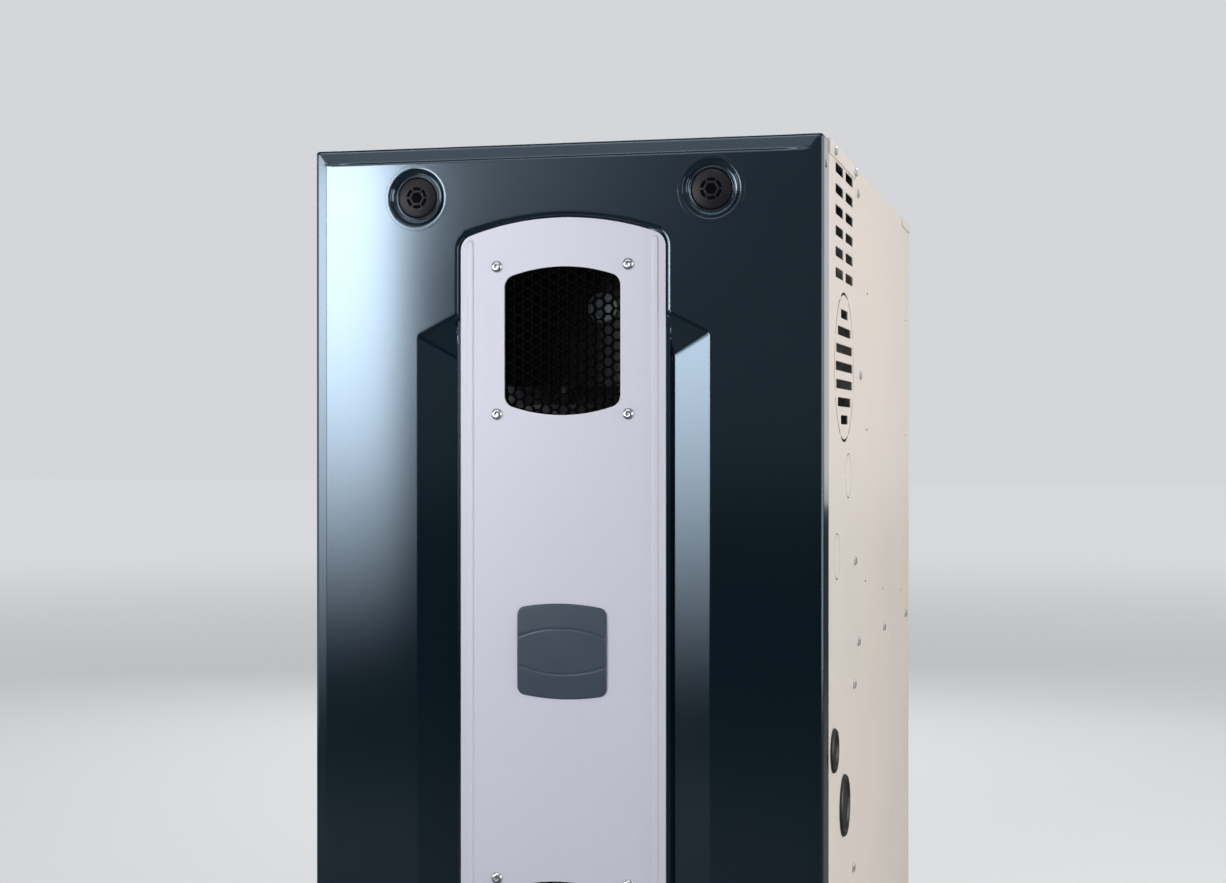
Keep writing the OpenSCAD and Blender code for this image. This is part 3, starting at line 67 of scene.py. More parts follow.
# turned by yaw about the vertical, and tipped by pitch from a level look
def addCamera(s):
    data = bpy.data.cameras.new("camera")
    data.sensor_fit = "HORIZONTAL"
    data.sensor_width = s["sensor"]
    data.lens = s["lens"]
    data.clip_start, data.clip_end = s["clip"]
    cam = bpy.data.objects.new("camera", data)
    bpy.context.scene.collection.objects.link(cam)
    cam.location = s["place"]
    cam.rotation_euler = (math.radians(90 + s["pitch"]), 0, math.radians(s["yaw"]))
    bpy.context.scene.camera = cam


addCamera(camera)


# a new object from points and faces; edges that bend more than sharpAngle degrees stay hard
def meshObject(name, points, faces, smooth=True, sharpAngle=None):
    mesh = bpy.data.meshes.new(name)
    mesh.from_pydata(np.asarray(points, float).reshape(-1, 3) * mm, [], faces)
    mesh.update()
    mesh.polygons.foreach_set("use_smooth", np.full(len(mesh.polygons), smooth))
    if sharpAngle is not None:
        mesh.set_sharp_from_angle(angle=math.radians(sharpAngle))
    obj = bpy.data.objects.new(name, mesh)
    bpy.context.scene.collection.objects.link(obj)
    return obj


# quads between the neighbours of a rows x columns grid, joined round where it wraps
def gridFaces(rows, columns, wrapRows=False, wrapColumns=False, keep=None):
    r = np.arange(rows if wrapRows else rows - 1)
    c = np.arange(columns if wrapColumns else columns - 1)
    r, c = np.meshgrid(r, c, indexing="ij")
    if keep is not None:
        r, c = r[keep], c[keep]
    r, c = r.ravel(), c.ravel()
    r2, c2 = (r + 1) % rows, (c + 1) % columns
    return np.stack([r * columns + c, r * columns + c2, r2 * columns + c2, r2 * columns + c], 1)


# the faces of many boxes, each of eight points: a ring of four and the ring above it
def boxFaces(count):
    quads = np.array([[0, 3, 2, 1], [4, 5, 6, 7], [0, 1, 5, 4],
                      [1, 2, 6, 5], [2, 3, 7, 6], [3, 0, 4, 7]])
    return (quads[None] + 8 * np.arange(count)[:, None, None]).reshape(-1, 4)


# many boxes in one mesh: low and high are arrays of corners
def boxesMesh(low, high):
    low, high = np.atleast_2d(low).astype(float), np.atleast_2d(high).astype(float)
    pick = np.array([[0, 0, 0], [1, 0, 0], [1, 1, 0], [0, 1, 0],
                     [0, 0, 1], [1, 0, 1], [1, 1, 1], [0, 1, 1]])
    points = low[:, None, :] + (high - low)[:, None, :] * pick[None]
    return points.reshape(-1, 3), boxFaces(len(low))


# evenly spaced angles once round
def fullTurn(count):
    return np.linspace(0, 2 * math.pi, count, endpoint=False)


# both sides of a line from its one side, which starts at nought
def mirrored(half):
    half = np.asarray(half, float)
    return np.concatenate([-half[:0:-1], half])


# points along a path, evenly spaced, by a centripetal curve through the given ones
def smoothPath(points, count):
    fineCount = 400
    p = np.asarray(points, float)
    p = np.vstack([2 * p[0] - p[1], p, 2 * p[-1] - p[-2]])
    t = np.concatenate([[0], np.cumsum(np.sqrt(np.linalg.norm(np.diff(p, axis=0), axis=1)))])
    fine = np.linspace(t[1], t[-2], fineCount)
    i = np.clip(np.searchsorted(t, fine, side="right") - 1, 1, len(p) - 3)

    def mix(a, b, ta, tb):
        w = ((fine - ta) / (tb - ta))[:, None]
        return a * (1 - w) + b * w
    t0, t1, t2, t3 = t[i - 1], t[i], t[i + 1], t[i + 2]
    a1, a2 = mix(p[i - 1], p[i], t0, t1), mix(p[i], p[i + 1], t1, t2)
    a3 = mix(p[i + 1], p[i + 2], t2, t3)
    b1, b2 = mix(a1, a2, t0, t2), mix(a2, a3, t1, t3)
    curve = mix(b1, b2, t1, t2)
    along = np.concatenate([[0], np.cumsum(np.linalg.norm(np.diff(curve, axis=0), axis=1))])
    even = np.linspace(0, along[-1], count)
    return np.stack([np.interp(even, along, curve[:, k]) for k in range(3)], 1)


# a round section carried along a path without twist, with closed ends
def tubeMesh(path, radius, sides):
    d = np.gradient(path, axis=0)
    d /= np.linalg.norm(d, axis=1)[:, None]
    u = np.zeros_like(d)
    aside = np.array([0.83, -0.21, 0.52])    # no path starts in this direction
    u[0] = np.cross(d[0], aside)
    u[0] /= np.linalg.norm(u[0])
    for i in range(1, len(path)):
        u[i] = u[i - 1] - d[i] * np.dot(u[i - 1], d[i])
        u[i] /= np.linalg.norm(u[i])
    v = np.cross(d, u)
    a = fullTurn(sides)[None, :, None]
    rings = path[:, None] + radius * (np.cos(a) * u[:, None] + np.sin(a) * v[:, None])
    faces = gridFaces(len(path), sides, wrapColumns=True).tolist()
    last = (len(path) - 1) * sides
    faces += [range(sides - 1, -1, -1), range(last, last + sides)]
    return rings.reshape(-1, 3), faces


# puts inputs into a shader node: values are written in and outputs of other nodes are linked
def feed(tree, node, inputs):
    for key, value in inputs.items():
        if isinstance(value, bpy.types.NodeSocket):
            tree.links.new(value, node.inputs[key])
        else:
            node.inputs[key].default_value = value


# a new shader node with its settings and inputs; gives back its outputs
def addNode(tree, kind, inputs={}, **settings):
    node = tree.nodes.new("ShaderNode" + kind)
    for key, value in settings.items():
        setattr(node, key, value)
    feed(tree, node, inputs)
    return node.outputs


# a screen colour of 0 to 255 as linear light: a short straight part, then a power of 2.4
def srgb(r, g, b):
    c = np.array([r, g, b]) / 255
    return tuple(np.where(c <= 0.04045, c / 12.92, ((c + 0.055) / 1.055) ** 2.4))


# a surface finish: mottle varies the colour, polish the roughness and grain the surface itself,
# each as (cells per metre, amount); cells gives zinc spangle instead of the mottle
def finish(name, colour, rough, metal=0.0, specular=0.5, mottle=(25, 0.04), polish=(60, 0.05),
           grain=(900, 0.04), stretch=(1, 1, 1), coat=0.0, coatRough=0.1, cells=None, tint=None,
           sheenTint=(1, 1, 1), alpha=1.0):
    mat = bpy.data.materials.new(name)
    mat.use_nodes = True
    tree = mat.node_tree
    where = addNode(tree, "TexCoord")["Object"]
    scaled = addNode(tree, "Mapping", {"Vector": where, "Scale": stretch})["Vector"]

    def noise(scale, detail=3.0):
        inputs = {"Vector": scaled, "Scale": scale, "Detail": detail}
        return addNode(tree, "TexNoise", inputs)["Fac"]

    # a noise lies mostly between 0.3 and 0.7, which is spread over low to high
    def ramp(value, low, high):
        inputs = {"Value": value, "From Min": 0.3, "From Max": 0.7, "To Min": low, "To Max": high}
        return addNode(tree, "MapRange", inputs)["Result"]

    if cells:
        spangle = addNode(tree, "TexVoronoi", {"Vector": scaled, "Scale": cells})["Color"]
        split = addNode(tree, "SeparateColor", {"Color": spangle})
        shadeBy, polishBy = split["Red"], split["Green"]
    else:
        shadeBy, polishBy = ramp(noise(mottle[0]), 0, 1), noise(polish[0])
    dark = np.array(colour) * (1 - mottle[1])
    light = np.minimum(np.array(colour if tint is None else tint) * (1 + mottle[1]), 1)
    shades = {"Factor": shadeBy, "A": (*dark, 1), "B": (*light, 1)}
    bump = {"Strength": grain[1], "Distance": 0.0004, "Height": noise(grain[0], 2.0)}
    feed(tree, tree.nodes["Principled BSDF"], {
        "Base Color": addNode(tree, "Mix", shades, data_type="RGBA")["Result"],
        "Roughness": ramp(polishBy, rough - polish[1], rough + polish[1]),
        "Metallic": metal,
        "Specular IOR Level": specular,
        "Specular Tint": (*sheenTint, 1),
        "Coat Weight": coat,
        "Coat Roughness": coatRough,
        "Alpha": alpha,
        "Normal": addNode(tree, "Bump", bump)["Normal"],
    })
    return mat


finishes = {
    "door_paint": finish(
        "doorPaint", (0.0003, 0.0056, 0.0100), 0.13, specular=1.0, sheenTint=(0.65, 0.82, 1.0),
        mottle=(3, 0.03), polish=(5, 0.01), grain=(420, 0.010)),
    "side_paint": finish(
        "sidePaint", srgb(212, 207, 203), 0.42, specular=0.4, mottle=(3.2, 0.015),
        polish=(9, 0.03), grain=(700, 0.03), tint=srgb(214, 204, 194)),
    "silver_strip": finish(
        "silverStrip", srgb(203, 203, 216), 0.42, metal=0.1, mottle=(1400, 0.03),
        polish=(12, 0.03), grain=(1500, 0.04)),
    "badge_grey": finish(
        "badgeGrey", srgb(56, 67, 83), 0.36, specular=0.4, mottle=(500, 0.05), grain=(1200, 0.10)),
    # black of the window screens, and also the painted shade of the discs in the knobs' sockets and
    # slots
    "black_screen": finish(
        "blackScreenAndShade", srgb(7, 7, 9), 0.65, specular=0.03, mottle=(300, 0.2), grain=(900, 0.08)),
    "knob_black": finish(
        "knobBlack", srgb(22, 21, 28), 0.4, specular=0.22, mottle=(500, 0.06), grain=(1500, 0.10)),
    "zinc_screw": finish(
        "zincScrew", srgb(205, 207, 211), 0.24, metal=1.0, mottle=(300, 0.08), polish=(500, 0.08),
        grain=(900, 0.05)),
    "black_plug": finish(
        "blackPlug", srgb(24, 25, 27), 0.45, mottle=(400, 0.1), grain=(1200, 0.12)),
    "galvanised": finish(
        "galvanised", srgb(150, 154, 158), 0.40, metal=0.9, mottle=(60, 0.07), polish=(60, 0.09),
        grain=(400, 0.03), cells=75, tint=srgb(176, 180, 184)),
    "foam": finish(
        "foam", srgb(38, 38, 39), 0.85, specular=0.2, mottle=(700, 0.2), grain=(1300, 0.5)),
    "foil_board": finish(
        "foilBoard", srgb(196, 199, 204), 0.28, metal=0.95, mottle=(25, 0.05), polish=(140, 0.1),
        grain=(160, 0.25)),
    "black_plastic": finish(
        "blackPlastic", srgb(32, 33, 35), 0.46, mottle=(300, 0.08), grain=(1000, 0.12)),
    "white_plastic": finish(
        "whitePlastic", srgb(222, 220, 213), 0.38, mottle=(30, 0.02), grain=(700, 0.05)),
    "aluminised": finish(
        "aluminised", srgb(168, 165, 158), 0.42, metal=0.85, mottle=(90, 0.08), polish=(120, 0.1),
        grain=(600, 0.08)),
    "black_pipe": finish(
        "blackPipe", srgb(46, 48, 50), 0.55, metal=0.4, mottle=(150, 0.15), grain=(700, 0.3)),
    "brass": finish(
        "brass", srgb(198, 160, 88), 0.28, metal=1.0, mottle=(250, 0.06), polish=(300, 0.08),
        grain=(700, 0.05)),
    "cast_alloy": finish(
        "castAlloy", srgb(158, 162, 166), 0.48, metal=0.85, mottle=(120, 0.05), grain=(900, 0.35)),
    "red_plastic": finish(
        "redPlastic", srgb(176, 40, 34), 0.36, mottle=(200, 0.05), grain=(900, 0.06)),
    "ceramic_white": finish(
        "ceramicWhite", srgb(226, 221, 210), 0.5, mottle=(300, 0.04), grain=(900, 0.12)),
    "sight_glass": finish(
        "sightGlass", srgb(200, 214, 222), 0.08, specular=0.9, mottle=(80, 0.03),
        polish=(60, 0.02), grain=(60, 0.03), alpha=0.8, coat=0.5, coatRough=0.04),
    "motor_paint": finish(
        "motorPaint", srgb(44, 46, 50), 0.38, mottle=(200, 0.08), grain=(600, 0.12)),
    "motor_alloy": finish(
        "motorAlloy", srgb(52, 54, 59), 0.4, metal=0.3, mottle=(200, 0.08), grain=(600, 0.15)),
    "rubber_black": finish(
        "rubberBlack", srgb(28, 28, 30), 0.62, specular=0.35, mottle=(300, 0.1),
        grain=(900, 0.15)),
    "clear_tube": finish(
        "clearTube", srgb(203, 200, 190), 0.3, mottle=(80, 0.04), grain=(500, 0.05)),
    "fin_stock": finish(
        "finStock", srgb(182, 184, 186), 0.3, metal=0.95, mottle=(200, 0.06), polish=(200, 0.08),
        grain=(400, 0.06)),
    "board_green": finish(
        "boardGreen", srgb(36, 92, 62), 0.34, mottle=(450, 0.18), polish=(200, 0.08),
        grain=(800, 0.15)),
    "grey_steel": finish(
        "greySteel", srgb(98, 102, 107), 0.42, metal=0.7, mottle=(160, 0.06), grain=(500, 0.08),
        stretch=(1, 1, 12)),
    "wire_red": finish("wireRed", srgb(168, 30, 28), 0.42, mottle=(200, 0.08), grain=(600, 0.05)),
}
slotOf = {p["node"]: p["material_slot"] for p in frame["record"]["subparts"]}
for name, node in nodes.items():
    node.data.materials.clear()
    node.data.materials.append(finishes[slotOf[name]])
print("finishes made:", len(finishes))


# a new piece: its finish, the body it rides on and the nodes it stands for
def place(obj, slot, body, *replaced):
    obj.data.materials.append(finishes[slot])
    if replaced:
        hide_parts(*replaced)
    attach(obj, body)
    return obj


# rounds every edge that bends more than angle degrees
def roundOff(obj, width, segments, angle, evenNormals):
    bevel = obj.modifiers.new("edges", "BEVEL")
    bevel.width = width * mm
    bevel.segments = segments
    bevel.limit_method = "ANGLE"
    bevel.angle_limit = math.radians(angle)
    bevel.harden_normals = evenNormals
    bevel.use_clamp_overlap = True


# gives a skin its thickness, behind its outer side
def thicken(obj, thickness):
    sheet = obj.modifiers.new("sheet", "SOLIDIFY")
    sheet.thickness = thickness * mm
    sheet.offset = -1


# edge radii of the nodes that keep their own shape: flat sheet parts, then cast and moulded ones
sheetEdges = {
    "cabinet_screws": 0.25, "left_side_panel": 0.25, "right_side_panel": 0.25,
    "top_front_panel": 0.3, "back_panel": 0.3, "burner_box_cover": 0.4, "burner_box": 0.3,
    "junction_box": 0.5, "transformer": 0.6, "control_panel": 0.3, "collector_box": 0.6,
    "rear_header_box": 0.6, "base_pan": 0.2, "door_switch": 0.8, "latch_keepers": 0.3,
    "door_stiffeners": 0.4, "vestibule_panel": 0.3, "blower_deck": 0.3, "blower_door": 0.3,
    "condensate_trap": 1.5, "motor_mount": 0.4,
}
roundEdges = {
    "strip_screws": 0.3, "hole_plugs": 0.6, "pipe_collars": 0.8, "gas_valve": 1.4,
    "gas_valve_knob": 0.8, "inducer_housing": 0.5, "inducer_motor": 1.2, "blower_motor": 2.0,
    "rollout_switch": 0.4, "pressure_switch": 0.8, "sight_glass": 0.5, "gas_manifold": 0.8,
    "gas_orifices": 0.3, "vent_coupling": 0.8, "limit_switch": 0.5, "blower_housing": 0.4,
}
# weld distance in metres; bends in degrees up to which faces are joined, and from which rounded
softening = {"weld": 2e-6, "flat": 0.5, "sharp": 32, "segments": 2}


# joins a node's loose triangles and its flat faces, then rounds its edges
def soften(node, width, smooth, s):
    node.data.polygons.foreach_set("use_smooth", np.full(len(node.data.polygons), smooth))
    weld = node.modifiers.new("weld", "WELD")
    weld.merge_threshold = s["weld"]
    joinFlats = node.modifiers.new("joinFlats", "DECIMATE")
    joinFlats.decimate_type = "DISSOLVE"
    joinFlats.angle_limit = math.radians(s["flat"])
    roundOff(node, width, s["segments"], s["sharp"], smooth)


for name, width in sheetEdges.items():
    soften(nodes[name], width, False, softening)
for name, width in roundEdges.items():
    soften(nodes[name], width, True, softening)
print("edges softened on", len(sheetEdges) + len(roundEdges), "nodes")

# outlines with arched ends: half width, half height, radius of the arch and of the corners
stripOutline = (89.9, 368.0, 246.5, 13.0)
windowOutline = (51.0, 63.0, 140.0, 10.0)
badgeOutline = (39.1, 40.5, 190.0, 7.0)
windowZs = (695.5, 174.3)
knobAt = (129.0, 820.0)


# half a cosine wave, from 0 to 1 as t goes from 0 to 1
def smoothStep(t):
    return (1 - np.cos(math.pi * np.clip(t, 0, 1))) / 2


# smooth minimum and maximum of two heights, rounded over a width k
def softMin(a, b, k):
    h = np.clip(0.5 + (b - a) / (2 * k), 0, 1)
    return b + (a - b) * h - k * h * (1 - h)


def softMax(a, b, k):
    return -softMin(-a, -b, k)


# middles of an arched outline's circles: the arch's height, then the corner's place
def archedMiddles(outline):
    halfWidth, halfHeight, arch, corner = outline
    archZ, cornerX = halfHeight - arch, halfWidth - corner
    return archZ, cornerX, archZ + math.sqrt((arch - corner) ** 2 - cornerX ** 2)


# distance outside an arched outline: the larger one from its sides and its arch, and from the
# corner's circle between the two lines where that circle meets them
def archedDistance(x, z, outline):
    halfWidth, _, arch, corner = outline
    archZ, cornerX, cornerZ = archedMiddles(outline)
    x, z = np.abs(x), np.abs(z)
    beyond = (x - cornerX) * (cornerZ - archZ) - (z - cornerZ) * cornerX
    inCorner = (x > cornerX) & (z > cornerZ) & (beyond > 0)
    straight = np.maximum(x - halfWidth, np.hypot(x, z - archZ) - arch)
    return np.where(inCorner, np.hypot(x - cornerX, z - cornerZ) - corner, straight)


# upper edge of an arched outline at x: the arch, then the corner circle
def archedTop(x, outline):
    _, _, arch, corner = outline
    archZ, cornerX, cornerZ = archedMiddles(outline)
    x = np.abs(x)
    onArch = archZ + np.sqrt(np.maximum(arch ** 2 - x ** 2, 0))
    onCorner = cornerZ + np.sqrt(np.maximum(corner ** 2 - (x - cornerX) ** 2, 0))
    return np.where(x < arch * cornerX / (arch - corner), onArch, onCorner)


# points round an arched outline, evenly spaced along it
def outlineRing(outline, count):
    _, _, arch, corner = outline
    archZ, cornerX, cornerZ = archedMiddles(outline)
    turn = math.atan2(cornerZ - archZ, cornerX)
    a = np.linspace(0, turn, 12)
    b = np.linspace(turn, math.pi - turn, 24)[1:-1]
    c = np.linspace(math.pi - turn, math.pi, 12)
    upper = np.concatenate([
        np.stack([cornerX + corner * np.cos(a), cornerZ + corner * np.sin(a)], 1),
        np.stack([arch * np.cos(b), archZ + arch * np.sin(b)], 1),
        np.stack([-cornerX + corner * np.cos(c), cornerZ + corner * np.sin(c)], 1)])
    loop = np.concatenate([upper, -upper, upper[:1]])
    along = np.concatenate([[0], np.cumsum(np.linalg.norm(np.diff(loop, axis=0), axis=1))])
    even = np.linspace(0, along[-1], count, endpoint=False)
    return np.stack([np.interp(even, along, loop[:, k]) for k in range(2)], 1)


door = {
    "halfWidth": 222.25,
    "bottom": 1.5,
    "top": 863.1,
    "rise": 6.0,
    "sheet": 1.0,
    "edgeDepth": 27.6,
    "hem": (1.0, 6.0, 22.0),  # thickness, width, height where the side hems start
    # the rounded edge: distance from the wall and depth behind the face
    "edge": [(2.6, 0.0), (2.35, 0.06), (0.85, 0.69), (0.6, 0.84), (0.36, 1.07), (0.17, 1.36),
             (0.04, 1.7), (0.0, 2.0)],
    "step": (10.4, 3.4),      # the soft step up to the raised face: from the ends, and its width
    "stepRise": 1.2,
    "stepFade": (6.0, 26.0),  # the step fades out towards the sides: where, and over what width
    "bend": 10.0,             # width of the leaning side borders
    "lean": (0.12, 0.085),    # how much the border falls away towards the sides and the ends
    # the pocket round the strip: distance from the strip and part of its depth
    "pocket": [(0.0, 1.0), (0.9, 1.0), (1.25, 0.93), (1.9, 0.24), (2.2, 0.13), (2.6, 0.08),
               (4.3, 0.0)],
    "pocketFloor": 1.5,       # how far its floor stands in front of frontY
    # each scoop: where it starts, is deepest and ends across, and its depth
    "scoopIn": 93.0,
    "scoopDeepX": 94.0,
    "scoopOut": 128.0,
    "scoopDeep": 9.0,
    "scoopTop": (287.0, 269.0, 250.0),    # its slanted end, from midZ: inside, outside, full depth
    "soft": {"lean": 0.6, "scoop": 0.5, "wall": 0.25, "rim": 0.2, "mouth": 4},    # widths of the joins
    "dishHole": 27.1,
    "windowGap": 3.0,
    "notchDepth": (8.0, 21.0),            # the finger notch narrows to a point as it goes back
    "notchLow": (836.1, 837.8),
    "notchHigh": (843.6, 837.8),
    "wallRows": 10,
    # bands of closer grid lines: start, end and spacing; a start below nought and an end of
    # nought count from the edge
    "coarse": 9.0,
    "across": [(0, 87, 5.0), (87, 99, 0.5), (99, 126, 1.6), (126, 130, 0.5), (130, 160, 1.6),
               (206, 0, 0.8)],
    "upwards": [(246, 290, 1.5), (325, 372, 0.8), (372, -16.4, 1.6), (-16.4, 0, 0.6)],
    "downwards": [(246, 290, 1.5), (325, 372, 1.1), (412, 0, 1.0)],
    "innerStep": 3.5,         # the inner skin's lines are this much further apart
}


# how far the door's face stands in front of frontY at (x, z)
def doorHeight(x, z, s):
    side, up = np.abs(x), np.abs(z - midZ)
    fromSide = s["halfWidth"] - side
    fromEnd = np.minimum(z - s["bottom"], s["top"] - z)
    start, width = s["step"]
    step = 1 - smoothStep((fromEnd - start) / width)
    step = step * smoothStep((fromSide - s["stepFade"][0]) / s["stepFade"][1])
    leanSide = s["lean"][0] * softMax(s["bend"] - fromSide, 0, s["soft"]["lean"])
    leanEnd = s["lean"][1] * np.clip(start - fromEnd, 0, None)
    height = s["rise"] - s["stepRise"] * step - np.maximum(leanSide, leanEnd)
    # the scoops: the least of an outer slope, a slanted end, a steep inner wall and the full depth
    deep, inX, deepX, outX = s["scoopDeep"], s["scoopIn"], s["scoopDeepX"], s["scoopOut"]
    endIn, endOut, endDeep = s["scoopTop"]
    outer = (outX - side) * deep / (outX - deepX)
    inner = (side - inX) * deep / (deepX - inX)
    fall = (endOut - endIn) / (outX - inX)
    belowEnd = endIn + (side - inX) * fall - up
    end = belowEnd * deep / (endIn + (deepX - inX) * fall - endDeep)
    scoop = softMin(outer, end, s["soft"]["scoop"])
    scoop = softMin(scoop, np.minimum(inner, deep), s["soft"]["wall"])
    height = height - softMax(scoop, 0, s["soft"]["rim"])
    # the pocket that the strip lies in; it opens into the scoops
    outside = archedDistance(x, z - midZ, stripOutline)
    away, part = np.array(s["pocket"]).T
    sunk = np.interp(outside, away, part)
    floor = s["pocketFloor"]
    inScoop = smoothStep(belowEnd / s["soft"]["mouth"])
    lowest = np.minimum(height, floor)
    pocket = floor * sunk + (height * (1 - inScoop) + lowest * inScoop) * (1 - sunk)
    return np.where(outside < away[-1], np.maximum(pocket, lowest), height)


# grid lines from 0 to end: coarse ones, and closer ones inside the bands; a line that is less than
# 0.2 past the one before is dropped
def gridLines(end, bands, coarse, step):
    lines = np.append(np.arange(0, end, coarse), end)
    for a, b, spacing in bands:
        a, b = a + end * (a < 0), b + end * (b <= 0)
        fine = np.linspace(a, b, max(2, int(round((b - a) / (spacing * step))) + 1))
        lines = np.concatenate([lines[(lines < a) | (lines > b)], fine])
    lines = np.unique(np.round(lines, 4))
    return lines[np.append(True, np.diff(lines) > 0.2)]


# One skin of the door: a grid over its face with y from doorHeight, whose edges turn round and run
# back as the side walls. inset sets it inside the outer skin; step spaces its lines out.
def doorFace(s, inset, step):
    across, behind = np.array(s["edge"]).T
    halfX, r = s["halfWidth"] - inset, across[0]
    top, bottom = s["top"] - inset, s["bottom"] + inset
    upper = gridLines(top - r - midZ, s["upwards"], s["coarse"], step)
    lower = gridLines(midZ - r - bottom, s["downwards"], s["coarse"], step)
    xs = mirrored(gridLines(halfX - r, s["across"], s["coarse"], step))
    zs = np.concatenate([midZ - lower[:0:-1], midZ + upper])
    wall = np.append(np.linspace(*s["notchDepth"], s["wallRows"]), s["edgeDepth"])

    # each line has a place across, a depth and a kind, which is face 0, turn 1 or wall 2
    def withEdges(inside, low, high):
        line = np.concatenate([np.full(len(wall), low), (low + across)[::-1], inside[1:-1],
                               high - across, np.full(len(wall), high)])
        depth = np.concatenate([wall[::-1], behind[::-1], 0 * inside[1:-1], behind, wall])
        counts = [len(wall), len(across), len(inside) - 2, len(across), len(wall)]
        return line, depth, np.repeat([2, 1, 0, 1, 2], counts)
    x, backX, kindX = withEdges(xs, -halfX, halfX)
    z, backZ, kindZ = withEdges(zs, bottom, top)
    gx, gz = np.meshgrid(x, z, indexing="ij")
    back = np.maximum(*np.meshgrid(backX, backZ, indexing="ij"))
    face = doorHeight(np.clip(gx, r - halfX, halfX - r), np.clip(gz, bottom + r, top - r), s)
    y = frontY + np.where(back >= wall[0], back, back + inset - face)
    # the corners are rounded: the square of the two turns is pressed onto a quarter circle
    middle, halfZ = (top + bottom) / 2, (top - bottom) / 2
    u = np.clip((np.abs(gx) - halfX + r) / r, 0, 1)
    v = np.clip((np.abs(gz - middle) - halfZ + r) / r, 0, 1)
    press = np.maximum(u, v) / np.maximum(np.hypot(u, v), 1e-9)
    press = np.where((u > 0) & (v > 0), press, 1)
    px = np.where(press < 1, np.sign(gx) * (halfX - r + r * u * press), gx)
    pz = np.where(press < 1, middle + np.sign(gz - middle) * (halfZ - r + r * v * press), gz)
    # cells left out: where two walls meet, the bottom wall, the windows, the dishes, the notches
    cellX, cellZ = (gx[:-1, :-1] + gx[1:, 1:]) / 2, (gz[:-1, :-1] + gz[1:, 1:]) / 2
    cellBack = (back[:-1, :-1] + back[1:, 1:]) / 2
    wallX = (np.maximum(kindX[:-1], kindX[1:]) == 2)[:, None]
    wallZ = (np.maximum(kindZ[:-1], kindZ[1:]) == 2)[None]
    keep = ~(wallZ & (wallX | (cellZ < midZ)))
    openX, openZ = windowOutline[0] + s["windowGap"], windowOutline[1] + s["windowGap"]
    for windowZ in windowZs:
        inWindow = (np.abs(cellX) < openX) & (np.abs(cellZ - windowZ) < openZ)
        keep &= ~(inWindow & (cellBack == 0))
    keep &= np.hypot(np.abs(cellX) - knobAt[0], cellZ - knobAt[1]) > s["dishHole"]
    part = (cellBack - wall[0]) / (wall[-2] - wall[0])
    low, high = (a + (b - a) * part for a, b in (s["notchLow"], s["notchHigh"]))
    keep &= ~(wallX & (part > 0) & (part < 1) & (cellZ > low) & (cellZ < high))
    return np.stack([px, y, pz], 2), gridFaces(*gx.shape, keep=keep)


# the outer skin, and the inner one a sheet behind it, in one mesh whose faces point outwards
def doorSkin(s):
    outer, outerFaces = doorFace(s, 0.0, 1.0)
    inner, innerFaces = doorFace(s, s["sheet"], s["innerStep"])
    points = np.concatenate([outer.reshape(-1, 3), inner.reshape(-1, 3)])
    faces = np.concatenate([outerFaces[:, ::-1], innerFaces + outer[..., 0].size])
    print("door skin faces:", len(faces))
    obj = meshObject("doorSkin", points, faces, sharpAngle=60)
    return place(obj, "door_paint", "door", "door_shell")


doorSkin(door)


# the folded hems along the door's sides and top, as three thin boxes
def doorHems(s):
    thick, wide, foot = s["hem"]
    halfX, top = s["halfWidth"] - s["sheet"], s["top"] - s["sheet"]
    rear = frontY + s["edgeDepth"]
    y = rear - thick
    low = [[-halfX, y, foot], [halfX - wide, y, foot], [-halfX + wide, y, top - wide]]
    high = [[-halfX + wide, rear, top], [halfX, rear, top], [halfX - wide, rear, top]]
    obj = meshObject("doorHems", *boxesMesh(low, high), smooth=False)
    return place(obj, "door_paint", "door")


doorHems(door)

dish = {
    "sheet": 1.0,
    # radius and depth below the face: the well, the lip round the knob, the ring and the outer rim
    "profile": [(4.3, 9.0), (16.8, 9.0), (17.15, 8.6), (17.3, 5.0), (17.4, 3.8), (17.6, 3.05),
                (17.9, 2.7), (18.3, 2.62), (18.7, 2.85), (19.1, 3.25), (19.6, 3.35), (20.1, 3.05),
                (20.5, 2.82), (20.9, 2.78), (21.5, 2.55), (22.3, 2.0), (23.2, 1.3), (24.0, 0.62),
                (24.4, 0.32), (24.8, 0.12), (25.3, 0.02), (25.9, -0.02), (28.6, -0.03)],
    "rings": 110,
    "around": 160,
}


# A profile turned about a knob's axis: each radius goes round at the given angles, at its own depth
# behind the plane front.
def turned(radius, depth, angles, side, front):
    x, z = side * knobAt[0] + radius * np.cos(angles), knobAt[1] + radius * np.sin(angles)
    return np.stack([x, np.broadcast_to(front + depth, x.shape), z], 2)


# the round dish of each knob: a smooth curve through its profile, turned
def knobDish(name, s, side):
    profile = np.array(s["profile"])
    line = smoothPath(np.column_stack([profile, 0 * profile[:, 0]]), s["rings"])
    front = frontY - door["rise"]
    points = turned(line[:, :1], line[:, 1:2], fullTurn(s["around"]), side, front)
    faces = gridFaces(*points.shape[:2], wrapColumns=True)[:, ::-1]
    obj = meshObject(name, points, faces)
    thicken(obj, s["sheet"])
    return place(obj, "door_paint", "door")


knobDish("leftDish", dish, -1)
knobDish("rightDish", dish, 1)
print("dishes turned")

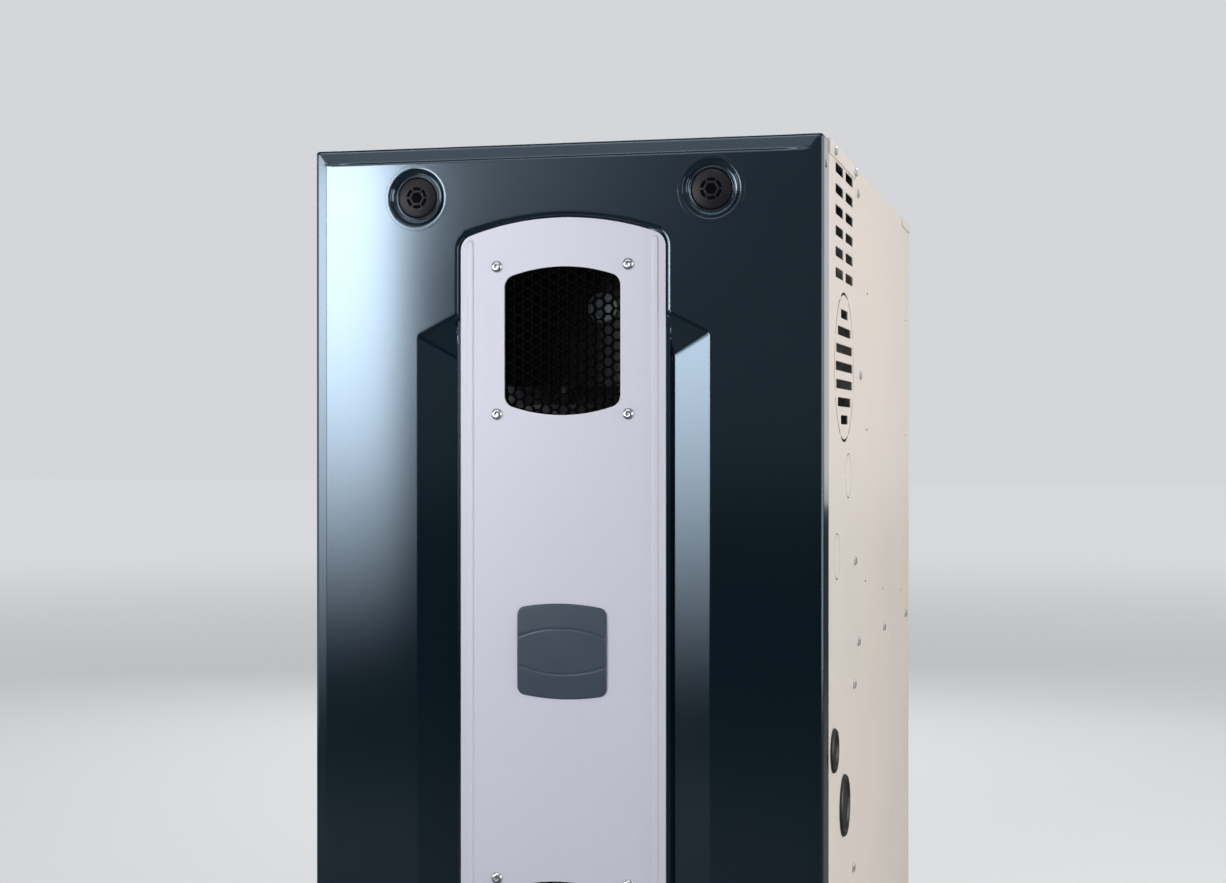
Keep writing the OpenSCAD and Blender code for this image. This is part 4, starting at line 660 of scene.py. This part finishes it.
knob = {
    "sectors": 6,
    "hex": 8.7,               # across the flats of the socket
    # rings about the socket: part of the hexagon's radius, depth
    "hexRings": [(0, 6.0), (0.98, 6.0), (1.0, 0.35), (1.03, 0.08), (1.08, 0)],
    "slot": (6.6, 9.2),       # inner and outer radius
    "slotHalf": 23.5,         # degrees either side of the slot's middle
    "slotEdge": 1.1,          # degrees of its sloping end
    "slotRings": [(-0.25, 0), (-0.08, 0.06), (0, 0.3), (0.05, 4.5)],    # way into the slot, depth
    "rimFrom": 10.2,
    "dome": (16.5, 1.6),      # radius and fall of the face
    # radius and depth from the face down the side to the shaft
    "side": [(16.2, 1.62), (16.7, 1.85), (17.05, 2.3), (17.1, 3.0), (16.6, 5.0), (16.3, 8.3),
             (16.0, 8.7), (4.0, 8.7)],
    "shaft": 4.0,
    "faceY": -6.0,
    "blade": (12.0, 4.0, 2.0),    # half length, half height, thickness
    "mark": (13.0, 1.3, 2.2),     # the small raised triangle: radius, half width, height
    "markY": (0.5, -0.2),         # its foot and its face
    # painted shade: the black disc under the socket and the slots, by radius and depth, and its points
    # round
    "shadeDisc": [(0, 0.6), (9.35, 1.1), (9.35, 2.0), (0, 2.0)],    # radius and depth
    "shadeDiscAround": 48,
}


# The knob is a polar grid. Its inner rings follow the hexagon of the socket and the next ones are
# circles. A vertex lies deep inside the socket or a slot and on the dome elsewhere, which falls
# with the square of the radius. The side and the shaft carry the grid on.
def turnKnob(name, s, side, node, body):
    sector = 2 * math.pi / s["sectors"]
    half, end = math.radians(s["slotHalf"]), math.radians(s["slotEdge"])
    low, high = sector / 2 - half, sector / 2 + half
    one = np.concatenate([np.linspace(0, low - end, 4), np.linspace(low, high, 12),
                          np.linspace(high + end, sector, 4)[:-1]])
    a = (one[None] + sector * np.arange(s["sectors"])[:, None]).ravel()
    fromSlot = (a + 1e-9) % sector - sector / 2
    inSlot = np.abs(fromSlot) <= half + 1e-6
    hexR = s["hex"] / 2 / np.cos(fromSlot)
    rings = [(k * hexR, deep + 0 * a) for k, deep in s["hexRings"]]
    inner, outer = s["slot"]
    slotRings = [(inner + away, deep) for away, deep in s["slotRings"]]
    slotRings += [(outer - away, deep) for away, deep in s["slotRings"][::-1]]
    rings += [(radius + 0 * a, deep * inSlot) for radius, deep in slotRings]
    rim = np.linspace(s["rimFrom"], s["side"][0][0], 9)[:-1]
    rings += [(radius + 0 * a, 0 * a) for radius in rim]
    r, d = np.array(rings).swapaxes(0, 1)
    domeR, fall = s["dome"]
    d = d + fall * (r / domeR) ** 2
    front, rear = frontY + s["faceY"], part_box(node)[1][1] / mm
    tail = np.array(s["side"] + [(s["shaft"], rear - front), (0.0, rear - front)])
    r = np.concatenate([r, np.repeat(tail[:, :1], len(a), 1)])
    d = np.concatenate([d, np.repeat(tail[:, 1:], len(a), 1)])
    points = turned(r, d, a, side, front).reshape(-1, 3)
    faces = gridFaces(*r.shape, wrapColumns=True)[:, ::-1].tolist()
    # the latch blade on the shaft's end, and the mark on the face
    kx, kz = side * knobAt[0], knobAt[1]
    bladeX, bladeZ, thick = s["blade"]
    blade, bladeFaces = boxesMesh([kx - bladeX, rear - thick, kz - bladeZ],
                                  [kx + bladeX, rear - 0.01, kz + bladeZ])
    faces += (bladeFaces + len(points)).tolist()
    markR, markX, markZ = s["mark"]
    corners = ((-markX, -markZ / 2), (markX, -markZ / 2), (0, markZ / 2))
    mark = np.array([(x, y, z) for y in s["markY"] for x, z in corners])
    mark += [kx, front + fall * (markR / domeR) ** 2, kz + markR]
    markFaces = ((3, 4, 5), (0, 1, 4, 3), (1, 2, 5, 4), (2, 0, 3, 5))
    faces += [[i + len(points) + len(blade) for i in f] for f in markFaces]
    obj = meshObject(name, np.concatenate([points, blade, mark]), faces, sharpAngle=50)
    return place(obj, "knob_black", body, node)


# painted shade: a black disc set just below the face, which shows only in the socket and the slots and
# darkens them where their shade falls
def knobShadeDisc(name, s, side, body):
    r, d = np.array(s["shadeDisc"]).T[:, :, None]
    points = turned(r, d, fullTurn(s["shadeDiscAround"]), side, frontY + s["faceY"])
    faces = gridFaces(*points.shape[:2], wrapColumns=True)[:, ::-1]
    return place(meshObject(name, points, faces, sharpAngle=50), "black_screen", body)


turnKnob("leftKnob", knob, -1, "knob_left", "knob_left")
turnKnob("rightKnob", knob, 1, "knob_right", "knob_right")
# painted shade discs that darken the knobs' sockets and slots
knobShadeDisc("leftShadeDisc", knob, -1, "knob_left")
knobShadeDisc("rightShadeDisc", knob, 1, "knob_right")
print("knobs turned")

strip = {
    "faceY": -3.5,
    "thick": 2.0,
    "edgeRound": 0.8,
    "rib": (81.0, 348.0),     # distance from the middle, half length
    "ribHalf": 2.7,
    "ribRise": 1.2,
    "ribSlope": 0.8,
    "plainLines": (54, 60, 66, 72, 76),    # grid lines across, and those about a rib's middle
    "ribLines": (0, 0.8, 1.7, 1.95, 2.2, 2.45, 2.7, 3.2),
    "rows": (46, 24, 36, 24, 46),
}


# The strip is one grid: columns across it, and rows that run between six edges, which are its lower
# end, the edges of the two windows and its upper end. The cells inside the windows are left out.
def centreStrip(s):
    halfWidth, _, _, cornerR = stripOutline
    windowX, _, _, windowR = windowOutline
    ribX, ribEnd = s["rib"]
    corner = halfWidth - cornerR * (1 - np.sin(np.radians(np.linspace(8, 90, 12))))
    windowCorner = windowX - windowR * (1 - np.sin(np.radians(np.linspace(0, 90, 9))))
    half = np.concatenate([np.linspace(0, windowX - windowR, 10)[:-1], windowCorner,
                           s["plainLines"], ribX + mirrored(s["ribLines"]),
                           corner[corner > ribX + 3.5]])
    x = mirrored(np.unique(np.round(half, 4)))
    end = archedTop(x, stripOutline)
    opening = archedTop(np.minimum(np.abs(x), windowX), windowOutline)
    upZ, lowZ = (z - midZ for z in windowZs)
    edges = np.stack([-end, lowZ - opening, lowZ + opening, upZ - opening, upZ + opening, end], 1)
    rows, part = [], []
    for k, count in enumerate(s["rows"]):
        t = np.linspace(0, 1, count + 1)[:-1]
        rows.append(edges[:, k, None] * (1 - t) + edges[:, k + 1, None] * t)
        part += [k] * count
    z = np.concatenate(rows + [edges[:, 5:]], 1)
    gx = np.broadcast_to(x[:, None], z.shape)
    fromRib = np.hypot(np.abs(gx) - ribX, np.maximum(np.abs(z) - ribEnd, 0))
    rise = s["ribRise"] * smoothStep((s["ribHalf"] - fromRib) / s["ribSlope"])
    points = np.stack([gx, frontY + s["faceY"] - rise, z + midZ], 2)
    inside = np.maximum(np.abs(x[:-1]), np.abs(x[1:])) <= windowX + 1e-6
    keep = ~(inside[:, None] & np.isin(part, (1, 3)))
    obj = meshObject("centreStrip", points, gridFaces(*z.shape, keep=keep)[:, ::-1])
    thicken(obj, s["thick"])
    roundOff(obj, s["edgeRound"], 3, 60, True)
    return place(obj, "silver_strip", "door", "centre_strip")


centreStrip(strip)
print("strip pressed")

screen = {
    "pitch": 9.0,
    "wall": 1.7,
    "overlap": 0.06,          # part of a wall's length that it runs on past each corner
    "y": (-0.5, 4.5),
    "columns": 9,
    "rows": 10,
    "reach": 5.0,             # how far the lattice goes past the window's edge
    "band": (-1.0, 9.0),      # inner and outer edge of the flat band, past the window's edge
    "around": 144,
}


# Each lattice wall is a thin box between two corners of the hexagons, kept where its middle lies
# inside the window's outline, and a flat band follows the outline behind the strip.
def windowScreen(name, s, windowZ):
    halfX, halfZ, arch, corner = windowOutline
    side, reach = s["pitch"] / math.sqrt(3), s["reach"]
    columns, rows = np.arange(-s["columns"], s["columns"] + 1), np.arange(-s["rows"], s["rows"])
    cz = (rows[None] + 0.5 * (1 - columns[:, None] % 2)) * s["pitch"]
    cx = np.broadcast_to(columns[:, None] * 1.5 * side, cz.shape)
    a = np.radians([0, 60, 120, 180])[:, None, None]
    corners = np.stack([cx + side * np.cos(a), cz + side * np.sin(a)], 3).reshape(4, -1, 2)
    p, q = corners[1:].reshape(-1, 2), corners[:-1].reshape(-1, 2)
    edge = (halfX + reach, halfZ + reach, arch, corner + reach)
    inside = archedDistance(*((p + q) / 2).T, edge) < -1
    p, q = p[inside], q[inside]
    along = q - p
    normal = np.stack([-along[:, 1], along[:, 0]], 1) / np.linalg.norm(along, axis=1)[:, None]
    normal *= s["wall"] / 2
    p, q = p - along * s["overlap"], q + along * s["overlap"]
    ring = np.stack([p - normal, q - normal, q + normal, p + normal], 1)
    front, rear = (frontY + y for y in s["y"])

    def atDepth(flat, y):
        x, z = flat[..., 0], flat[..., 1] + windowZ
        return np.stack([x, np.full(x.shape, y), z], -1)
    walls = np.concatenate([atDepth(ring, front), atDepth(ring, rear)], 1).reshape(-1, 3)
    inner, outer = ([v + grow for v in windowOutline] for grow in s["band"])
    bandFront = front + 0.02
    section = ((inner, bandFront), (outer, bandFront), (outer, rear), (inner, rear))
    band = [atDepth(outlineRing(outline, s["around"]), y) for outline, y in section]
    bandFaces = gridFaces(4, s["around"], wrapRows=True, wrapColumns=True) + len(walls)
    faces = np.concatenate([boxFaces(len(p))[:, ::-1], bandFaces])
    return meshObject(name, np.concatenate([walls, *band]), faces, smooth=False)


upperScreen = windowScreen("upperScreen", screen, windowZs[0])
place(upperScreen, "black_screen", "door", "window_screens")
lowerScreen = windowScreen("lowerScreen", screen, windowZs[1])
place(lowerScreen, "black_screen", "door")
print("screens woven")

badge = {
    "middleZ": 432.4,
    "faceY": -6.0,
    "backY": -3.5,
    "edgeRound": 1.1,
    "crown": (1.1, 2.2),      # fall of the face at its ends, and the power that it grows with
    "inner": 0.965,           # size of the first ring inside the rounded edge
    "grooveAt": 19.4,
    "grooveBend": 100.0,
    "grooveWidth": 0.9,
    "grooveDepth": 0.55,
    "around": 240,
    "rings": 60,
}


# The badge is its outline shrunk towards the middle: the outer rings roll over the edge and the
# inner ones follow a shallow crown with two arc grooves.
def badgePlate(s):
    halfX, halfZ, _, _ = badgeOutline
    edge = outlineRing(badgeOutline, s["around"])
    turn = np.radians([30, 60, 90])
    rolled = 1 - s["edgeRound"] / halfX * (1 - np.cos(turn))
    shrink = np.concatenate([[1, 1], rolled, np.linspace(s["inner"], 0.0, s["rings"])])[:, None]
    x, z = shrink * edge[None, :, 0], shrink * edge[None, :, 1]
    thick = s["backY"] - s["faceY"]
    fall, power = s["crown"]
    roll = np.zeros(shrink.shape)
    roll[:5, 0] = [thick, s["edgeRound"], *(s["edgeRound"] * (1 - np.sin(turn)))]
    y = s["faceY"] + np.minimum(fall * (np.abs(z) / halfZ) ** power + roll, thick)
    y[0] = s["backY"]
    for sign in (1, -1):
        centre = sign * (s["grooveAt"] - s["grooveBend"])
        away = np.abs(np.hypot(x, z - centre) - s["grooveBend"])
        groove = s["grooveDepth"] * (1 - smoothStep(away / s["grooveWidth"]))
        y += groove * (np.sign(z) == sign) * (shrink <= s["inner"])
    faces = gridFaces(*x.shape, wrapColumns=True)[:, ::-1]
    points = np.stack([x, frontY + y, z + s["middleZ"]], 2)
    obj = meshObject("badgePlate", points, faces, sharpAngle=50)
    return place(obj, "badge_grey", "door", "badge_plate")


badgePlate(badge)
print("badge shaped")

wires = {
    "radius": 1.5,
    "sides": 10,
    "points": 60,
    "runs": [
        ("wireValve", "wire_red", [
            (-150, 118, 393), (-148, 112, 420), (-150, 100, 470), (-160, 86, 510), (-166, 82, 560),
            (-166, 85, 576), (-166, 89, 580), (-166, 95, 580)]),
        ("wireRollout", "wire_red", [
            (-130, 118, 393), (-128, 108, 430), (-120, 96, 520), (-112, 92, 640), (-106, 92, 700),
            (-101, 96, 735), (-100, 103.6, 742)]),
        ("wireInducer", "clear_tube", [
            (-110, 118, 393), (-104, 126, 415), (-60, 128, 450), (0, 100, 485), (50, 80, 505),
            (82, 74, 516), (90, 78, 520), (90, 85, 520)]),
        ("wireDoor", "black_plastic", [
            (-170, 118, 393), (-172, 90, 430), (-184, 78, 520), (-190, 80, 590), (-191, 82, 616),
            (-191, 78, 622), (-191, 70, 622)]),
        ("wirePressure", "wire_red", [
            (-90, 118, 393), (-86, 104, 440), (-72, 100, 520), (-62, 120, 560), (-55, 160, 606),
            (-54, 175, 620), (-54, 179, 622), (-54, 186, 622)]),
    ],
}
# finish, node, radius and the points
hoses = {
    "pressureHose": ("clear_tube", "pressure_tube", 3.2, [
        (-60, 184, 590), (-60, 178, 590), (-60, 165, 588), (-48, 140, 575), (-15, 128, 566),
        (15, 126, 563), (32, 129, 560), (42, 135, 557), (45, 142, 556), (45, 150, 556)]),
    "drainHose": ("rubber_black", "drain_hose", 8.0, [
        (165, 216, 448), (165, 216, 446.5), (165, 214.3, 440.3), (164.8, 209.8, 435.8),
        (164.4, 203.5, 434), (163, 184, 433.9), (162.4, 176, 433.6), (161, 166, 431),
        (160.3, 158.7, 423.8), (160, 156, 413.8), (160, 156, 405)]),
}


# a tube along a smooth path through points whose depths count from frontY
def alongPath(points, count, radius, sides):
    return tubeMesh(smoothPath(np.array(points, float) + [0, frontY, 0], count), radius, sides)


for i, (name, slot, points) in enumerate(wires["runs"]):
    tube = alongPath(points, wires["points"], wires["radius"], wires["sides"])
    harness = ["wire_harness"] if i == 0 else []    # the first wire stands for the whole harness
    place(meshObject(name, *tube, sharpAngle=60), slot, "cabinet", *harness)
for name, (slot, node, radius, points) in hoses.items():
    tube = alongPath(points, 70, radius, 24)    # 70 points along it, 24 round
    place(meshObject(name, *tube, sharpAngle=60), slot, "cabinet", node)
print("wires and hoses laid")

lining = {
    "x": 205.0,
    "y": (5.0, 21.0),
    "z": (262.0, 606.0),
    "round": 5.0,
    "pins": [(-150, 330), (150, 330), (-150, 540), (150, 540), (0, 435)],
    "dimple": (2.2, 16.0),            # depth and spread of the dent round a pin
    "wave": (0.35, 17, 23, 1.3, 41),  # height, then the lengths and the bend of the ripples
    "frontDip": 0.3,
}


# The board is a front and a back grid joined round their rim. Its edge is a quarter circle, and its
# back dents round the pins by a bell curve and ripples by a product of two sines.
def doorLining(s):
    gx, gz = np.meshgrid(np.linspace(-1, 1, 90), np.linspace(-1, 1, 80), indexing="ij")
    middle, half = (s["z"][0] + s["z"][1]) / 2, (s["z"][1] - s["z"][0]) / 2
    x, z = gx * s["x"], middle + gz * half
    edge = np.minimum(s["x"] - np.abs(x), half - np.abs(z - middle))
    inset = np.clip(edge / s["round"], 0, 1)
    roll = s["round"] * (1 - np.sqrt(1 - (1 - inset) ** 2))
    deep, spread = s["dimple"]
    dimple = sum(deep * np.exp(-((x - px) ** 2 + (z - pz) ** 2) / (2 * spread ** 2))
                 for px, pz in s["pins"])
    high, lengthX, lengthZ, bend, bendLength = s["wave"]
    wave = high * np.sin(x / lengthX + bend * np.sin(z / bendLength)) * np.sin(z / lengthZ)
    back = s["y"][1] - roll - (dimple + np.abs(wave)) * inset
    front = s["y"][0] + roll + s["frontDip"] * inset
    points = np.concatenate([np.stack([x, frontY + y, z], 2).reshape(-1, 3) for y in (back, front)])
    n = x.size
    faces = gridFaces(*x.shape)
    index = np.arange(n).reshape(x.shape)
    rim = np.concatenate([index[:, 0], index[-1, 1:], index[-2::-1, -1], index[0, -2:0:-1]])
    nextRim = np.roll(rim, -1)
    sideFaces = np.stack([rim, nextRim, nextRim + n, rim + n], 1)
    allFaces = np.concatenate([faces[:, ::-1], faces + n, sideFaces])
    obj = meshObject("doorLining", points, allFaces, sharpAngle=60)
    return place(obj, "foil_board", "door", "door_insulation")


doorLining(lining)

gasket = {"x": (204.25, 218.25), "y": (27.9, 28.6), "z": (30.0, 843.6)}


# each foam strip is a flattened half round section run up the flange
def gasketStrips(s):
    a = np.linspace(0, math.pi, 13)
    middle, half = (s["x"][0] + s["x"][1]) / 2, (s["x"][1] - s["x"][0]) / 2
    sectionX = -half * np.cos(a)
    y = frontY + s["y"][1] - (s["y"][1] - s["y"][0]) * np.sin(a) ** 0.5
    z = np.linspace(*s["z"], 40)[:, None]
    sides = [np.stack(np.broadcast_arrays(sign * middle + sectionX, y, z), 2) for sign in (-1, 1)]
    faces = gridFaces(len(z), len(a), wrapColumns=True)[:, ::-1]
    faces = np.concatenate([faces, faces + z.size * a.size])
    obj = meshObject("gasketStrips", sides, faces, sharpAngle=60)
    return place(obj, "foam", "cabinet", "door_gasket")


gasketStrips(gasket)
print("lining and gasket fitted")

coil = {"half": 183.0, "y": (254.0, 619.0), "z": (457.5, 530.5), "pitch": 3.0, "thick": 0.25}


# the fine fins of the secondary coil: thin boxes, one every pitch
def coilFins(s):
    y = np.arange(s["y"][0], s["y"][1], s["pitch"]) + frontY
    low = np.stack([0 * y - s["half"], y, 0 * y + s["z"][0]], 1)
    high = np.stack([0 * y + s["half"], y + s["thick"], 0 * y + s["z"][1]], 1)
    obj = meshObject("coilFins", *boxesMesh(low, high), smooth=False)
    return place(obj, "fin_stock", "cabinet")


coilFins(coil)
print("coil finned")

room = {
    "halfSize": 24000.0,
    "floor": (0.50, 0.505, 0.515),
    "floorInGloss": 0.35,     # part of the floor's colour that glossy surfaces see
    # glow of the floor for the camera, near the object and far off, so that it melts into the sky,
    # and those two distances in metres
    "floorShown": (0.46, 0.85),
    "floorFar": (0.9, 9.0),
    "sky": (0.66, 0.67, 0.69),
    "fill": 0.22,
    "gloss": 0.35,
}


# the world lights the object evenly; the camera, gloss and glass see the pale backdrop instead
def addRoom(s):
    far = s["halfSize"]
    corners = [[-far, -far, 0], [far, -far, 0], [far, far, 0], [-far, far, 0]]
    floor = meshObject("floor", corners, [(0, 1, 2, 3)])
    mat = bpy.data.materials.new("floorPaint")
    mat.use_nodes = True
    tree = mat.node_tree
    rays = addNode(tree, "LightPath")
    dim = [c * s["floorInGloss"] for c in s["floor"]]
    colours = {"Factor": rays["Is Glossy Ray"], "A": (*s["floor"], 1), "B": (*dim, 1)}
    where = addNode(tree, "TexCoord")["Object"]
    away = addNode(tree, "VectorMath", {0: where}, operation="LENGTH")["Value"]
    glow = addNode(tree, "MapRange", {
        "Value": away, "From Min": s["floorFar"][0], "From Max": s["floorFar"][1],
        "To Min": s["floorShown"][0], "To Max": s["floorShown"][1],
    }, interpolation_type="SMOOTHSTEP")["Result"]
    seen = addNode(tree, "Math", {0: rays["Is Camera Ray"], 1: glow}, operation="MULTIPLY")
    feed(tree, tree.nodes["Principled BSDF"], {
        "Base Color": addNode(tree, "Mix", colours, data_type="RGBA")["Result"],
        "Roughness": 0.8,
        "Specular IOR Level": 0.1,
        "Emission Color": (*s["sky"], 1),
        "Emission Strength": seen["Value"],
    })
    floor.data.materials.append(mat)

    world = bpy.data.worlds.new("studio")
    bpy.context.scene.world = world
    world.use_nodes = True
    tree = world.node_tree
    tree.nodes.clear()
    rays = addNode(tree, "LightPath")

    def sky(colour, strength):
        inputs = {"Color": (*colour, 1), "Strength": strength}
        return addNode(tree, "Background", inputs)["Background"]

    last = sky((1, 1, 1), s["fill"])
    shown = {"Is Transmission Ray": s["gloss"], "Is Glossy Ray": s["gloss"], "Is Camera Ray": 1.0}
    for ray, strength in shown.items():
        inputs = {0: rays[ray], 1: last, 2: sky(s["sky"], strength)}
        last = addNode(tree, "MixShader", inputs)["Shader"]
    addNode(tree, "OutputWorld", {"Surface": last})


addRoom(room)

cool, white, warm = (0.98, 0.99, 1.0), (1.0, 1.0, 1.0), (1.0, 0.98, 0.96)
lamps = {
    # place, aim, width and height in metres, watts, colour, and where it fades out: the dark and
    # the full end, as parts of its height Y and its width X
    "leftStrip": ((-0.86, -1.95, 0.675), (-0.15, -0.36, 0.675), (0.23, 0.95), 12.4, cool,
                  {"Y": (0.0, 0.79)}),
    "farStrip": ((-1.40, -1.95, 0.60), (0.1, -0.36, 0.60), (0.50, 1.10), 18, cool,
                 {"Y": (0.0, 0.82)}),
    "topHaze": ((-0.35, -1.95, 1.62), (-0.35, -0.36, 1.2), (2.1, 0.95), 6.3, white,
                {"Y": (0.0, 0.35)}),
    "cornerHaze": ((-0.55, -1.95, 0.98), (-0.55, -0.36, 0.98), (0.9, 0.36), 1.0, white,
                   {"Y": (0.0, 0.9), "X": (1.05, 0.3)}),
    "topFront": ((-0.45, -1.6, 2.2), (-0.45, -0.36, 0.86), (1.5, 0.28), 4.5, white, {}),
    "leftPanel": ((-1.9, -0.9, 0.7), (-0.22, -0.36, 0.6), (0.9, 1.2), 4, white, {}),
    "rightStrip": ((1.9, -1.95, 0.75), (0.0, -0.36, 0.6), (0.5, 1.3), 8, white, {}),
    "rightPanel": ((2.3, -0.3, 0.95), (0.1, 0.0, 0.5), (1.2, 1.7), 38, warm, {}),
    "rearRight": ((0.72, 2.6, 0.95), (0.3, -0.36, 0.75), (0.5, 1.0), 1.2, white, {}),
    "topPanel": ((0.2, 0.5, 2.6), (0.0, 0.2, 0.6), (1.6, 1.6), 16, white, {}),
    "backPanel": ((-0.8, 2.4, 1.6), (0.0, 0.0, 0.5), (1.4, 1.2), 20, white, {}),
}


# a lamp's strength is the product of its fades, which are smooth steps across its face
def fadeLamp(data, fades):
    data.use_nodes = True
    tree = data.node_tree
    surface = addNode(tree, "NewGeometry")["Parametric"]
    across = addNode(tree, "SeparateXYZ", {"Vector": surface})
    strength = 1.0
    for axis, (dark, full) in fades.items():
        inputs = {"Value": across[axis], "From Min": dark, "From Max": full}
        ramp = addNode(tree, "MapRange", inputs, interpolation_type="SMOOTHSTEP")["Result"]
        strength = addNode(tree, "Math", {0: strength, 1: ramp}, operation="MULTIPLY")["Value"]
    feed(tree, tree.nodes["Emission"], {"Strength": strength})


# each lamp is turned to look from its place to its aim, by that line's yaw and pitch
def addLamps(s):
    for name, (at, aim, size, watts, colour, fades) in s.items():
        data = bpy.data.lights.new(name, "AREA")
        data.shape = "RECTANGLE"
        data.size, data.size_y = size
        data.energy = watts
        data.color = colour
        if fades:
            fadeLamp(data, fades)
        lamp = bpy.data.objects.new(name, data)
        bpy.context.scene.collection.objects.link(lamp)
        lamp.location = at
        direction = np.array(aim) - np.array(at)
        yaw = math.atan2(direction[1], direction[0]) - math.pi / 2
        pitch = math.atan2(direction[2], math.hypot(direction[0], direction[1]))
        lamp.rotation_euler = (math.pi / 2 + pitch, 0, yaw)


addLamps(lamps)
bpy.context.scene.view_settings.view_transform = "Standard"
print("room lit")
